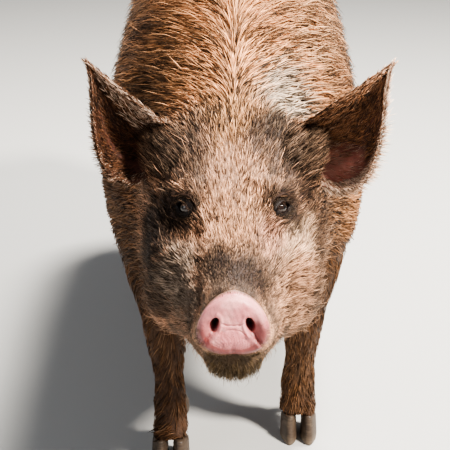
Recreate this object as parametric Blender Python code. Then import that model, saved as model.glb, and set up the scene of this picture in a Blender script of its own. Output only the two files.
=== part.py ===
"""A life-size standing pig, parted into named solids. Metres, +Z up, the nose towards -Y."""

import math
import random
from collections import namedtuple

import bmesh
import bpy
from mathutils import Matrix, Vector
from mathutils.bvhtree import BVHTree

# Driving dimensions. While the animal is modelled, y = 0 is at the forefeet and z = 0 is the floor.
GAP = 0.0003                # between parts that touch
CLAY_VOXEL = 0.0055         # grain in which the flesh is fused
FLESH_TRIANGLES = 5000      # of head, trunk and legs together, before they are parted
RING_SIDES = 40             # of each ring of the trunk and legs

SNOUT_FRONT_Y = -0.430
SNOUT_WIDEST_Z = 0.3745         # height at which the nose disc is widest
SNOUT_HALF_WIDTH = 0.0395
SNOUT_ABOVE = 0.0475            # from the widest place to the top and to the bottom
SNOUT_BELOW = 0.0255
SNOUT_DEPTH = 0.020
SNOUT_LEAN = math.tan(math.radians(5))
NOSTRIL_PLACE = (0.0185, 0.3865)
NOSTRIL_SIZE = (0.0054, 0.0088)
NOSTRIL_DEPTH = 0.020

EYE_CENTRE = (0.0510, -0.2500, 0.4560)
EYE_RADIUS = 0.0120
EYE_TURN = math.radians(50)     # outward from straight ahead
EYE_LIFT = math.radians(14)
EYE_SLIT = (0.0125, 0.0066)     # half width and half height between the lids

EAR_ROOT = (0.070, -0.158, 0.522)
EAR_TIPS = {"left": (0.183, -0.205, 0.615), "right": (0.168, -0.205, 0.617)}
EAR_WIDTHS = {"left": 0.100, "right": 0.092}
EAR_THICKNESS = 0.0065

TAIL_ROOT = (0.0, 0.868, 0.620)
TAIL_DROP = 0.215
TAIL_LOOP = 0.026
TAIL_TURN = math.radians(400)

HEAD_CUT_Y = -0.128
NECK_CUT_Y = 0.000
CHEST_CUT_Y = 0.250
RUMP_CUT_Y = 0.560
MOUTH_CORNER_Y = -0.300
MOUTH_Z = 0.3425
MOUTH_OPENING = 0.0016

CLAW_LENGTH = 0.060
CLAW_WIDTH = 0.026
CLAW_HEIGHT = 0.036
CLAW_SPREAD = 0.0145            # from the middle of the foot to the middle of a claw
FOREFEET = {"left": (0.097, 0.030), "right": (-0.090, -0.042)}
HINDFEET = {"left": (0.098, 0.700), "right": (-0.104, 0.758)}

COLOURS = {
    "coat": (0.36, 0.17, 0.08),
    "snout": (0.74, 0.36, 0.34),
    "ear": (0.20, 0.10, 0.06),
    "eye": (0.02, 0.012, 0.010),
    "horn": (0.10, 0.07, 0.05),
}
ROUGHNESS = {"coat": 0.85, "snout": 0.42, "ear": 0.8, "eye": 0.08, "horn": 0.5}

# A ring of the trunk: its place along the body, top and bottom line, half width, the share of
# its height at which it is widest, and how square its upper and lower halves are.
Ring = namedtuple("Ring", "landmark y top bottom half_width widest upper lower")
TRUNK = [
    Ring("nose bridge", -0.418, 0.421, 0.346, 0.0370, 0.42, 2.0, 2.2),
    Ring("lips", -0.385, 0.426, 0.318, 0.0430, 0.42, 2.0, 2.2),
    Ring("muzzle", -0.335, 0.438, 0.303, 0.0570, 0.43, 2.0, 2.3),
    Ring("below the eyes", -0.290, 0.453, 0.294, 0.0800, 0.40, 2.0, 2.3),
    Ring("eyes", -0.255, 0.474, 0.286, 0.0960, 0.42, 2.3, 2.4),
    Ring("forehead", -0.215, 0.507, 0.280, 0.1080, 0.44, 2.5, 2.4),
    Ring("poll", -0.160, 0.543, 0.272, 0.1160, 0.45, 2.4, 2.3),
    Ring("nape", -0.105, 0.572, 0.262, 0.1280, 0.43, 2.1, 2.2),
    Ring("neck", -0.050, 0.614, 0.252, 0.1500, 0.40, 2.0, 2.2),
    Ring("shoulder point", 0.010, 0.658, 0.248, 0.1720, 0.36, 1.9, 2.3),
    Ring("withers", 0.100, 0.700, 0.248, 0.1860, 0.32, 1.9, 2.3),
    Ring("girth", 0.250, 0.712, 0.246, 0.1930, 0.30, 1.9, 2.3),
    Ring("barrel", 0.400, 0.716, 0.244, 0.1970, 0.32, 1.9, 2.3),
    Ring("flank", 0.550, 0.718, 0.262, 0.1960, 0.36, 1.95, 2.2),
    Ring("hips", 0.680, 0.712, 0.300, 0.1880, 0.42, 2.0, 2.1),
    Ring("croup", 0.790, 0.684, 0.350, 0.1730, 0.52, 2.1, 2.0),
    Ring("tail head", 0.865, 0.630, 0.415, 0.1260, 0.52, 2.0, 2.0),
    Ring("end", 0.903, 0.560, 0.490, 0.0500, 0.50, 2.0, 2.0),
]

# A slice of a leg: its height, the middle across and along the body, and its half sizes.
Slice = namedtuple("Slice", "landmark z x y half_x half_y")
FORELEG = [
    Slice("shoulder", 0.530, 0.112, 0.050, 0.0560, 0.1050),
    Slice("upper arm", 0.430, 0.124, 0.018, 0.0600, 0.1000),
    Slice("elbow", 0.335, 0.122, 0.018, 0.0520, 0.0780),
    Slice("forearm", 0.262, 0.112, 0.008, 0.0420, 0.0520),
    Slice("above the knee", 0.205, 0.104, 0.000, 0.0325, 0.0370),
    Slice("knee", 0.168, 0.101, -0.005, 0.0315, 0.0350),
    Slice("cannon", 0.122, 0.100, 0.000, 0.0250, 0.0270),
    Slice("fetlock", 0.086, 0.100, 0.003, 0.0290, 0.0310),
    Slice("pastern", 0.058, 0.100, -0.008, 0.0285, 0.0300),
    Slice("coronet", 0.020, 0.100, -0.020, 0.0285, 0.0310),
]
HINDLEG = [
    Slice("ham", 0.540, 0.098, 0.745, 0.0720, 0.1330),
    Slice("thigh", 0.450, 0.112, 0.725, 0.0720, 0.1300),
    Slice("stifle", 0.365, 0.116, 0.705, 0.0590, 0.1060),
    Slice("gaskin", 0.290, 0.108, 0.742, 0.0430, 0.0660),
    Slice("hock", 0.215, 0.100, 0.792, 0.0310, 0.0430),
    Slice("below the hock", 0.175, 0.098, 0.793, 0.0270, 0.0340),
    Slice("cannon", 0.130, 0.098, 0.783, 0.0250, 0.0280),
    Slice("fetlock", 0.090, 0.098, 0.773, 0.0290, 0.0310),
    Slice("pastern", 0.060, 0.098, 0.760, 0.0285, 0.0300),
    Slice("coronet", 0.020, 0.098, 0.745, 0.0285, 0.0310),
]
LEG_STRAIGHT_ABOVE = 0.42       # the feet are shifted, and the leg above this height isn't

# Muscles and bones that stand out of the trunk: the middle on the left side, half sizes and pitch.
Mass = namedtuple("Mass", "landmark middle half_sizes pitch")
MASSES = [
    Mass("shoulder", (0.096, 0.045, 0.440), (0.078, 0.130, 0.165), 12),
    Mass("ham", (0.088, 0.762, 0.490), (0.096, 0.130, 0.165), -8),
    Mass("jowl", (0.058, -0.205, 0.335), (0.053, 0.080, 0.052), 0),
    Mass("cheek", (0.066, -0.240, 0.392), (0.040, 0.070, 0.044), 12),
    Mass("brow", (0.044, -0.228, 0.470), (0.028, 0.034, 0.016), 32),
    Mass("lids", EYE_CENTRE, (0.0190, 0.0190, 0.0185), 0),
    Mass("ear root", (0.080, -0.160, 0.488), (0.032, 0.034, 0.042), 0),
    Mass("lip", (0.028, -0.366, 0.357), (0.022, 0.050, 0.018), 4),
]
CHIN = Mass("chin", (0.0, -0.386, 0.328), (0.034, 0.032, 0.019), 0)

# A row of locks of bristles on each side: the node it grows from, the first and last root along
# the body, how far round from the top of the back it runs, how far apart the roots are, the size
# of a lock and how steeply it sweeps down.
Row = namedtuple("Row", "landmark node first last round apart length width sweep")
LOCK_ROWS = [
    Row("crest of the neck", "neck", -0.118, -0.064, 8, 0.024, 0.054, 0.036, 16),
    Row("beside it", "neck", -0.110, -0.064, 23, 0.024, 0.052, 0.038, 24),
    Row("withers", "chest", 0.010, 0.184, 5, 0.034, 0.060, 0.038, 12),
    Row("beside them", "chest", 0.022, 0.184, 13, 0.036, 0.060, 0.040, 18),
    Row("top of the shoulder", "chest", 0.012, 0.180, 22, 0.040, 0.060, 0.042, 24),
    Row("back", "belly", 0.261, 0.420, 5, 0.038, 0.060, 0.038, 10),
    Row("beside the back", "belly", 0.272, 0.380, 13, 0.042, 0.058, 0.040, 15),
]
LOCK_SINK = 0.009               # how deep a root goes into the flesh
LOCK_RISE = 0.006               # how far a tip stands off it
LOCK_SECTIONS = 5
LOCK_AXIS_Z = 0.45              # the line inside the body that the rows are laid round
LOCK_SEED = 7


def clear_scene():
    for obj in list(bpy.data.objects):
        bpy.data.objects.remove(obj, do_unlink=True)


def material(name):
    """One Principled material of that name, made at its first use."""
    found = bpy.data.materials.get(name)
    if found:
        return found
    made = bpy.data.materials.new(name)
    made.use_nodes = True
    shader = made.node_tree.nodes["Principled BSDF"]
    shader.inputs["Base Color"].default_value = (*COLOURS[name], 1.0)
    shader.inputs["Roughness"].default_value = ROUGHNESS[name]
    return made


def object_from(bm, name, finish):
    """The bmesh as a linked object, its faces pointing out."""
    bmesh.ops.recalc_face_normals(bm, faces=bm.faces[:])
    mesh = bpy.data.meshes.new(name)
    bm.to_mesh(mesh)
    bm.free()
    obj = bpy.data.objects.new(name, mesh)
    bpy.context.scene.collection.objects.link(obj)
    mesh.materials.append(material(finish))
    return obj


def between(stations, key, place):
    """A smooth curve through the stations' named sizes, read at a place on the key's axis."""
    stations = sorted(stations, key=lambda s: getattr(s, key))
    at = [getattr(s, key) for s in stations]
    last = len(at) - 1
    place = min(max(place, at[0]), at[-1])
    i = max(k for k in range(last) if at[k] <= place)
    span = at[i + 1] - at[i]
    t = (place - at[i]) / span
    sizes = {}
    for field in stations[0]._fields[1:]:
        value = [getattr(s, field) for s in stations]

        def slope(k):
            low, high = max(k - 1, 0), min(k + 1, last)
            return (value[high] - value[low]) / (at[high] - at[low])

        a, b, ta, tb = value[i], value[i + 1], slope(i) * span, slope(i + 1) * span
        sizes[field] = (
            a * (1 + 2 * t) * (1 - t) ** 2 + b * t * t * (3 - 2 * t)
            + ta * t * (1 - t) ** 2 - tb * t * t * (1 - t)
        )
    return stations[0]._replace(landmark="", **sizes)


def power_wave(value, power):
    """The sine or cosine of a superellipse of that power."""
    return math.copysign(abs(value) ** (2 / power), value)


def loft(bm, rings):
    """A closed tube through rings of points, all listed in the same order."""
    count = len(rings[0])
    verts = bmesh.ops.create_circle(bm, segments=count, radius=1.0)["verts"]
    first = list(verts)
    edges = [e for e in {e for v in verts for e in v.link_edges}]
    bmesh.ops.contextual_create(bm, geom=edges)
    for vert, point in zip(verts, rings[0]):
        vert.co = point
    for ring in rings[1:]:
        grown = bmesh.ops.extrude_edge_only(bm, edges=edges)["geom"]
        edges = [g for g in grown if isinstance(g, bmesh.types.BMEdge)]
        new = {g for g in grown if isinstance(g, bmesh.types.BMVert)}
        edges = [e for e in edges if set(e.verts) <= new]
        follows = {}
        for vert in new:
            for edge in vert.link_edges:
                if edge.other_vert(vert) not in new:
                    follows[edge.other_vert(vert)] = vert
        verts = [follows[v] for v in verts]
        for vert, point in zip(verts, ring):
            vert.co = point
    bmesh.ops.contextual_create(bm, geom=edges)
    return first


def trunk_ring(ring):
    """The outline of the trunk at a place along the body."""
    middle = ring.bottom + (ring.top - ring.bottom) * ring.widest
    points = []
    for k in range(RING_SIDES):
        angle = 2 * math.pi * k / RING_SIDES
        up = math.sin(angle) >= 0
        power = ring.upper if up else ring.lower
        height = ring.top - middle if up else middle - ring.bottom
        points.append(Vector((
            ring.half_width * power_wave(math.cos(angle), power),
            ring.y,
            middle + height * power_wave(math.sin(angle), power),
        )))
    return points


def add_trunk(bm):
    start, end = TRUNK[0].y, TRUNK[-1].y
    count = 70
    places = [start + (end - start) * k / count for k in range(count + 1)]
    loft(bm, [trunk_ring(between(TRUNK, "y", place)) for place in places])


def leg_slices(stations, foot, side):
    """The outlines of a leg from the top down, leaning so that it ends over its foot."""
    top, bottom = stations[0].z, stations[-1].z
    end = stations[-1]
    count = 30
    rings = []
    for k in range(count + 1):
        at = between(stations, "z", top + (bottom - top) * k / count)
        lean = min(1.0, max(0.0, (LEG_STRAIGHT_ABOVE - at.z) / LEG_STRAIGHT_ABOVE))
        lean = lean * lean * (3 - 2 * lean)
        x = at.x * side + (foot[0] - end.x * side) * lean
        y = at.y + (foot[1] - end.y) * lean
        ring = []
        for n in range(RING_SIDES // 2):
            angle = 4 * math.pi * n / RING_SIDES
            ring.append(Vector((
                x + at.half_x * math.cos(angle), y + at.half_y * math.sin(angle), at.z
            )))
        rings.append(ring)
    return rings


def add_mass(bm, mass, side):
    """An ellipsoid on one side of the body, pitched nose up by its angle."""
    x, y, z = mass.middle
    place = (
        Matrix.Translation((x * side, y, z))
        @ Matrix.Rotation(-math.radians(mass.pitch), 4, "X")
        @ Matrix.Diagonal((*mass.half_sizes, 1.0))
    )
    bmesh.ops.create_icosphere(bm, subdivisions=3, radius=1.0, matrix=place)


def apply_modifiers(obj):
    """Puts what the modifiers make into the object's own mesh."""
    graph = bpy.context.evaluated_depsgraph_get()
    mesh = bpy.data.meshes.new_from_object(obj.evaluated_get(graph))
    obj.modifiers.clear()
    old, obj.data = obj.data, mesh
    bpy.data.meshes.remove(old)
    return obj


def smooth_step(low, high, value):
    t = min(1.0, max(0.0, (value - low) / (high - low)))
    return t * t * (3 - 2 * t)


def flesh():
    """Head, trunk and legs fused in one, smoothed where they join, with the most faces on the head."""
    bm = bmesh.new()
    add_trunk(bm)
    for side, word in ((1, "left"), (-1, "right")):
        loft(bm, leg_slices(FORELEG, FOREFEET[word], side))
        loft(bm, leg_slices(HINDLEG, HINDFEET[word], side))
        for mass in MASSES:
            add_mass(bm, mass, side)
    add_mass(bm, CHIN, 1)
    obj = object_from(bm, "flesh", "coat")
    remesh = obj.modifiers.new("fuse", "REMESH")
    remesh.mode = "VOXEL"
    remesh.voxel_size = CLAY_VOXEL
    apply_modifiers(obj)

    soft = obj.vertex_groups.new(name="soft")
    coarse = obj.vertex_groups.new(name="coarse")
    for vert in obj.data.vertices:
        body = smooth_step(-0.20, 0.0, vert.co.y)
        leg = 1 - smooth_step(0.16, 0.30, vert.co.z)
        muzzle = 1 - smooth_step(-0.34, -0.30, vert.co.y)
        soft.add([vert.index], max(0.42 - 0.20 * muzzle, body * (1 - 0.7 * leg)), "REPLACE")
        coarse.add([vert.index], max(0.06, 0.30 * body * (1 - 0.5 * leg)), "REPLACE")
    smooth = obj.modifiers.new("smooth", "SMOOTH")
    smooth.factor = 0.5
    smooth.iterations = 60
    smooth.vertex_group = "soft"
    apply_modifiers(obj)

    thin = obj.modifiers.new("thin", "DECIMATE")
    thin.ratio = FLESH_TRIANGLES / (2 * len(obj.data.polygons))
    thin.vertex_group = "coarse"
    thin.vertex_group_factor = 1.0
    thin.use_collapse_triangulate = True
    apply_modifiers(obj)
    obj.vertex_groups.clear()
    return obj


def helper(bm, name):
    """A cutter or other helper, which is no part of the model."""
    obj = object_from(bm, name, "coat")
    obj.hide_render = True
    obj.display_type = "WIRE"
    return obj


def box_cutter(low, high, name="box cutter"):
    bm = bmesh.new()
    bmesh.ops.create_cube(bm, size=1.0)
    low, high = Vector(low), Vector(high)
    for vert in bm.verts:
        vert.co = (low + high) / 2 + Vector(c * s for c, s in zip(vert.co, high - low))
    return helper(bm, name)


def boolean(obj, operation, other, solver="EXACT"):
    """Joins, cuts or keeps what is shared with the other object, and applies it."""
    modifier = obj.modifiers.new(operation.lower(), "BOOLEAN")
    modifier.operation = operation
    modifier.object = other
    modifier.solver = solver
    return apply_modifiers(obj)


def copy_of(obj, name):
    made = obj.copy()
    made.data = obj.data.copy()
    made.name = name
    bpy.context.scene.collection.objects.link(made)
    return made


def remove(obj):
    bpy.data.objects.remove(obj, do_unlink=True)


def fattened(obj, by=GAP):
    """A copy with its surface moved out, for cutting what must stay clear of it."""
    made = copy_of(obj, obj.name + " fat")
    made.hide_render = True
    swell = made.modifiers.new("swell", "DISPLACE")
    swell.strength = by
    swell.mid_level = 0.0
    return apply_modifiers(made)


def largest_body(obj):
    """Keeps only the largest closed surface of the object."""
    bm = bmesh.new()
    bm.from_mesh(obj.data)
    left = set(bm.faces)
    bodies = []
    while left:
        stack = [left.pop()]
        body = list(stack)
        while stack:
            for edge in stack.pop().edges:
                for face in edge.link_faces:
                    if face in left:
                        left.remove(face)
                        stack.append(face)
                        body.append(face)
        bodies.append(body)
    bodies.sort(key=lambda body: sum(f.calc_area() for f in body), reverse=True)
    bmesh.ops.delete(bm, geom=[f for body in bodies[1:] for f in body], context="FACES")
    bm.to_mesh(obj.data)
    bm.free()
    return obj


def split_off(obj, name, cutter, gap=GAP):
    """Takes the part of obj inside a convex cutter as a new object, with a thin gap round it."""
    piece = copy_of(obj, name)
    boolean(piece, "INTERSECT", cutter)
    wide = fattened(cutter, gap)
    boolean(obj, "DIFFERENCE", wide)
    remove(wide)
    remove(cutter)
    largest_body(obj)
    return largest_body(piece)


def split_at(obj, name, y):
    """Takes what lies in front of the plane at y as a new object."""
    return split_off(obj, name, box_cutter((-1, -2, -1), (1, y, 2)))


def keep_clear(obj, other):
    """Cuts obj back from the other, which it then meets face to face."""
    fat = fattened(other, 2 * GAP)
    boolean(obj, "DIFFERENCE", fat)
    remove(fat)
    return largest_body(obj)


def snout_outline(angle):
    """The outline of the nose disc: a tall arch above its widest place, flatter and cleft beneath."""
    x, z = math.cos(angle), math.sin(angle)
    power = 2.1 if z > 0 else 2.4
    cleft = 1.0 - 0.07 * math.exp(-((angle - 1.5 * math.pi) / 0.22) ** 2)
    height = SNOUT_ABOVE if z > 0 else SNOUT_BELOW * cleft
    return SNOUT_HALF_WIDTH * power_wave(x, power), height * power_wave(z, power)


def snout():
    """The naked nose disc with its raised rim."""
    profile = ((1.02, 0.90), (0.60, 0.98), (0.20, 1.0), (0.02, 0.93), (0.0, 0.80), (0.035, 0.55))
    sides = 36
    middle = (SNOUT_ABOVE - SNOUT_BELOW) / 2
    rings = []
    for depth, spread in profile:
        ring = []
        for k in range(sides):
            x, z = snout_outline(2 * math.pi * k / sides)
            rise = middle + (z - middle) * spread
            ring.append(Vector((
                x * spread,
                SNOUT_FRONT_Y + depth * SNOUT_DEPTH + (rise + SNOUT_BELOW) * SNOUT_LEAN,
                SNOUT_WIDEST_Z + rise,
            )))
        rings.append(ring)
    bm = bmesh.new()
    loft(bm, rings)
    return object_from(bm, "snout", "snout")


def nostril_cutter(side):
    """A comma-shaped blind tube that runs in and turns outwards."""
    rings = []
    steps = 5
    sides = 12
    lean = side * math.radians(-20)
    for k in range(steps + 1):
        t = k / steps
        size = 1.0 - 0.35 * t
        centre = Vector((
            side * (NOSTRIL_PLACE[0] + 0.004 * t),
            SNOUT_FRONT_Y - 0.006 + (NOSTRIL_DEPTH + 0.006) * t,
            NOSTRIL_PLACE[1] + 0.004 * t,
        ))
        ring = []
        for n in range(sides):
            angle = 2 * math.pi * n / sides
            x, z = NOSTRIL_SIZE[0] * math.cos(angle), NOSTRIL_SIZE[1] * math.sin(angle)
            ring.append(centre + size * Vector((
                x * math.cos(lean) - z * math.sin(lean), 0, x * math.sin(lean) + z * math.cos(lean)
            )))
        rings.append(ring)
    bm = bmesh.new()
    loft(bm, rings)
    return helper(bm, "nostril cutter")


def eye_place(side):
    """The eye's own frame: its local +Z looks out between the lids."""
    turn = Matrix.Rotation(side * EYE_TURN, 4, "Z") @ Matrix.Rotation(math.pi / 2 - EYE_LIFT, 4, "X")
    x, y, z = EYE_CENTRE
    return Matrix.Translation((side * x, y, z)) @ turn


def eyeball(side, word):
    bm = bmesh.new()
    bmesh.ops.create_uvsphere(
        bm, u_segments=14, v_segments=8, radius=EYE_RADIUS, matrix=eye_place(side)
    )
    return object_from(bm, "eye_" + word, "eye")


def open_lids(head, side):
    """Hollows the socket in the mound over the eye, and opens it with an almond slit."""
    bm = bmesh.new()
    bmesh.ops.create_icosphere(bm, subdivisions=3, radius=EYE_RADIUS + GAP * 1.5, matrix=eye_place(side))
    socket = helper(bm, "socket")
    boolean(head, "DIFFERENCE", socket)
    remove(socket)
    half_width, half_height = EYE_SLIT
    rings = []
    for depth, size in ((0.0, 0.9), (0.034, 1.5)):
        ring = []
        for k in range(20):
            angle = 2 * math.pi * k / 20
            x = math.cos(angle)
            z = math.copysign(1 - abs(x) ** 1.7, math.sin(angle))
            ring.append(eye_place(side) @ Vector((size * half_width * x, size * half_height * z, depth)))
        rings.append(ring)
    bm = bmesh.new()
    loft(bm, rings)
    slit = helper(bm, "slit")
    boolean(head, "DIFFERENCE", slit)
    remove(slit)


def ear_frame(word):
    """Origin, length and directions of an ear: along its upper edge, across it, and out of its cup."""
    side = 1 if word == "left" else -1
    root, tip = (Vector((side * x, y, z)) for x, y, z in (EAR_ROOT, EAR_TIPS[word]))
    along = (tip - root).normalized()
    across = Vector((side * 0.46, -0.12, -0.88))
    across = (across - across.dot(along) * along).normalized()
    out = along.cross(across) * side
    if out.y > 0:
        out = -out
    return root, (tip - root).length, along, across, out


def ear_point(word, u, v):
    """A point of the ear's middle surface: u from 0 at the upper edge to 1 at the outer, v from root to tip."""
    root, length, along, across, out = ear_frame(word)
    width = EAR_WIDTHS[word] * (1 - smooth_step(0.16, 1.30, v)) * (1 - max(0.0, v) ** 5)
    width *= 1 - 0.12 * (1 - smooth_step(-0.2, 0.25, v))
    cup = 0.036 * (1 - smooth_step(-0.1, 1.0, v)) + 0.004
    hollow = math.sin(math.pi * min(1.0, u * 1.02)) ** 0.8
    return root + along * length * v + across * width * u - out * cup * hollow


def ear(word):
    """A cupped, pointed ear: a sheet bent over its cup and given its thickness."""
    across, along = 9, 13
    bm = bmesh.new()
    bmesh.ops.create_grid(bm, x_segments=across, y_segments=along, size=0.5)
    for vert in bm.verts:
        u, v = vert.co.x + 0.5, vert.co.y + 0.5
        vert.co = ear_point(word, u, -0.22 + 1.22 * v)
    obj = object_from(bm, "ear_" + word, "ear")
    thick = obj.modifiers.new("thickness", "SOLIDIFY")
    thick.thickness = EAR_THICKNESS
    thick.offset = 0.0
    return apply_modifiers(obj)


def claw(foot, side, name):
    """One claw of a foot: a flat sole, blunt in front, with walls that lean back to the coronet."""
    middle_x, middle_y = foot[0] + side * CLAW_SPREAD, foot[1] - 0.009
    sides = 16
    levels = ((0.0, 1.0, 0.0), (0.008, 0.99, 0.001), (CLAW_HEIGHT + 0.02, 0.82, 0.013))
    rings = []
    for height, size, back in levels:
        ring = []
        for k in range(sides):
            angle = 2 * math.pi * k / sides
            x = 0.5 * CLAW_WIDTH * power_wave(math.cos(angle), 2.4)
            y = 0.5 * CLAW_LENGTH * math.sin(angle)
            point = 1 - 0.32 * smooth_step(0.0, -0.5 * CLAW_LENGTH, y) if y < 0 else 1.0
            inner = x * side < 0
            x *= 0.92 if inner else point
            ring.append(Vector((middle_x + x * size, middle_y + y * size + back, height)))
        rings.append(ring)
    bm = bmesh.new()
    loft(bm, rings)
    return object_from(bm, name, "horn")


def dewclaw(foot, side, name):
    """A small blunt horn that hugs the back of the pastern and points down."""
    base = Vector((foot[0] + side * 0.0150, foot[1] + 0.026, 0.084))
    tip = Vector((foot[0] + side * 0.0190, foot[1] + 0.053, 0.043))
    radii = (0.0096, 0.0102, 0.0096, 0.0080, 0.0034)
    path = [base.lerp(tip, k / (len(radii) - 1)) for k in range(len(radii))]
    return tube(name, path, radii, 10, "horn")


def tube(name, path, radii, sides, finish):
    """A closed tube along a path, its rings kept from twisting."""
    rings = []
    side = Vector((1, 0, 0))
    for k, point in enumerate(path):
        ahead = path[min(k + 1, len(path) - 1)] - path[max(k - 1, 0)]
        ahead.normalize()
        side = (side - side.dot(ahead) * ahead).normalized()
        up = ahead.cross(side)
        rings.append([
            point + radii[k] * (math.cos(a) * side + math.sin(a) * up)
            for a in (2 * math.pi * n / sides for n in range(sides))
        ])
    bm = bmesh.new()
    loft(bm, rings)
    return object_from(bm, name, finish)


def tail():
    """A thin tail that leaves the rump, makes one loose turn and hangs down."""
    steps = 26
    path, radii = [], []
    for k in range(steps + 1):
        t = k / steps
        turn = TAIL_TURN * smooth_step(0.12, 0.90, t)
        loop = TAIL_LOOP * smooth_step(0.05, 0.35, t) * (1 - 0.5 * t)
        path.append(Vector(TAIL_ROOT) + Vector((
            loop * math.sin(turn),
            0.050 * smooth_step(0.0, 0.30, t) + loop * (1 - math.cos(turn)) * 0.8,
            -0.014 * t - (TAIL_DROP - 0.014) * smooth_step(-0.10, 1.25, t),
        )))
        radii.append(0.0160 * (1 - t) ** 1.2 + 0.0064)
    return tube("tail", path, radii, 10, "coat")


def legs(body):
    """Parts each leg from the trunk, and its foot from the leg, with claws on every foot."""
    fore_top, hind_top, foot_top = 0.330, 0.380, 0.110
    for end, feet, near, far, top in (
        ("fore", FOREFEET, -0.115, 0.118, fore_top), ("hind", HINDFEET, 0.585, 0.90, hind_top)
    ):
        for side, word in ((1, "left"), (-1, "right")):
            low, high = sorted((side * 0.048, side * 0.4))
            whole = f"{end}leg_{word}"
            leg = split_off(body, whole, box_cutter((low, near, -0.1), (high, far, top)))
            foot = split_off(leg, f"{end}foot_{word}", box_cutter((-1, -1, -0.1), (1, 2, foot_top)))
            claws(foot, feet[word], f"{end}_{word}")


def claws(foot_obj, foot, label):
    """Cuts the foot's flesh at the coronet, and sets two claws below it and two dewclaws behind."""
    slope = math.radians(14)
    edge = Matrix.Translation((foot[0], foot[1], CLAW_HEIGHT)) @ Matrix.Rotation(-slope, 4, "X")
    bm = bmesh.new()
    bmesh.ops.create_cube(bm, size=0.3, matrix=edge @ Matrix.Translation((0, 0, -0.15)))
    below = helper(bm, "below the coronet")
    boolean(foot_obj, "DIFFERENCE", below)
    remove(below)
    largest_body(foot_obj)
    for side, word in ((1, "a"), (-1, "b")):
        horn = claw(foot, side, f"claw_{label}_{word}")
        bm = bmesh.new()
        bmesh.ops.create_cube(bm, size=0.3, matrix=edge @ Matrix.Translation((0, 0, 0.15 - GAP)))
        above = helper(bm, "above the coronet")
        boolean(horn, "DIFFERENCE", above)
        remove(above)
        spur = dewclaw(foot, side, f"dewclaw_{label}_{word}")
        keep_clear(foot_obj, spur)


def mouth_cutter():
    """The block below the line of the mouth, which rises a little to its corner."""
    rings = []
    for y in (-0.50, -0.40, -0.35, -0.32, MOUTH_CORNER_Y, -0.285):
        rise = 0.010 * smooth_step(-0.34, MOUTH_CORNER_Y, y)
        top = MOUTH_Z + rise
        rings.append([Vector(p) for p in ((-0.2, y, 0.1), (0.2, y, 0.1), (0.2, y, top), (-0.2, y, top))])
    bm = bmesh.new()
    loft(bm, rings)
    return helper(bm, "mouth cutter")


def lock(root, out, lie, length, width):
    """A flat, tapered lock with a low ridge, its root in the flesh and its tip bending back to it."""
    across = out.cross(lie).normalized()
    rings = []
    for k in range(LOCK_SECTIONS):
        t = k / (LOCK_SECTIONS - 1)
        lift = -LOCK_SINK + (LOCK_SINK + LOCK_RISE) * math.sin(0.62 * math.pi * t)
        middle = root + lie * (length * (t - 0.12)) + out * lift
        half = 0.5 * width * (1 - t ** 2.2) ** 0.8 + 0.0008
        rings.append([
            middle - across * half, middle + across * half, middle + out * (0.22 * half + 0.0006)
        ])
    bm = bmesh.new()
    loft(bm, rings)
    return helper(bm, "lock")


def add_locks(node, rows, chance):
    """Grows the rows' locks from the node on both sides of the back, and joins them to it."""
    surface = BVHTree.FromObject(node, bpy.context.evaluated_depsgraph_get())
    tuft = bpy.data.collections.new("locks of " + node.name)
    bpy.context.scene.collection.children.link(tuft)
    for row in rows:
        count = int((row.last - row.first) / row.apart)
        for k in range(count + 1):
            for side in (-1, 1):
                y = row.first + row.apart * k + chance.uniform(0.0, 0.25) * row.apart
                turn = math.radians(row.round * chance.uniform(0.88, 1.12))
                axis = Vector((0, min(y, row.last), LOCK_AXIS_Z))
                away = Vector((side * math.sin(turn), 0, math.cos(turn)))
                root, out = surface.ray_cast(axis + away, -away)[:2]
                sweep = math.radians(row.sweep * chance.uniform(0.7, 1.3))
                down = Vector((side * math.cos(turn), 0, -math.sin(turn)))
                lie = Vector((0, math.cos(sweep), 0)) + down * math.sin(sweep)
                lie = (lie - lie.dot(out) * out).normalized()
                size = chance.uniform(0.88, 1.08)
                grown = lock(root, out, lie, row.length * size, row.width * size)
                bpy.context.scene.collection.objects.unlink(grown)
                tuft.objects.link(grown)
    join = node.modifiers.new("locks", "BOOLEAN")
    join.operation = "UNION"
    join.operand_type = "COLLECTION"
    join.collection = tuft
    join.solver = "EXACT"
    apply_modifiers(node)
    for grown in list(tuft.objects):
        remove(grown)
    bpy.data.collections.remove(tuft)
    return largest_body(node)


def coat_locks():
    """The longest bristles: the crest of the neck, withers and back."""
    chance = random.Random(LOCK_SEED)
    for name in dict.fromkeys(row.node for row in LOCK_ROWS):
        add_locks(bpy.data.objects[name], [row for row in LOCK_ROWS if row.node == name], chance)


def settle_on_floor():
    """Moves everything so that the origin is under the middle of the model, on the floor."""
    bpy.context.view_layer.update()
    points = [vert.co for obj in bpy.data.objects for vert in obj.data.vertices]
    low = Vector(map(min, *points))
    high = Vector(map(max, *points))
    shift = Vector(((low.x + high.x) / 2, (low.y + high.y) / 2, low.z))
    for obj in bpy.data.objects:
        obj.data.transform(Matrix.Translation(-shift))


def main():
    clear_scene()
    body = flesh()
    body.name = "rump"
    outer = fattened(body, 2 * GAP)
    nose = snout()
    for side in (1, -1):
        cutter = nostril_cutter(side)
        boolean(nose, "DIFFERENCE", cutter)
        remove(cutter)
    legs(body)
    head = split_at(body, "head", HEAD_CUT_Y)
    split_at(body, "neck", NECK_CUT_Y)
    split_at(body, "chest", CHEST_CUT_Y)
    split_at(body, "belly", RUMP_CUT_Y)
    keep_clear(head, nose)
    split_off(head, "jaw", mouth_cutter(), MOUTH_OPENING)
    for side, word in ((1, "left"), (-1, "right")):
        open_lids(head, side)
        eyeball(side, word)
        largest_body(boolean(ear(word), "DIFFERENCE", outer))
    largest_body(boolean(tail(), "DIFFERENCE", outer))
    remove(outer)
    coat_locks()
    settle_on_floor()


main()
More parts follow.
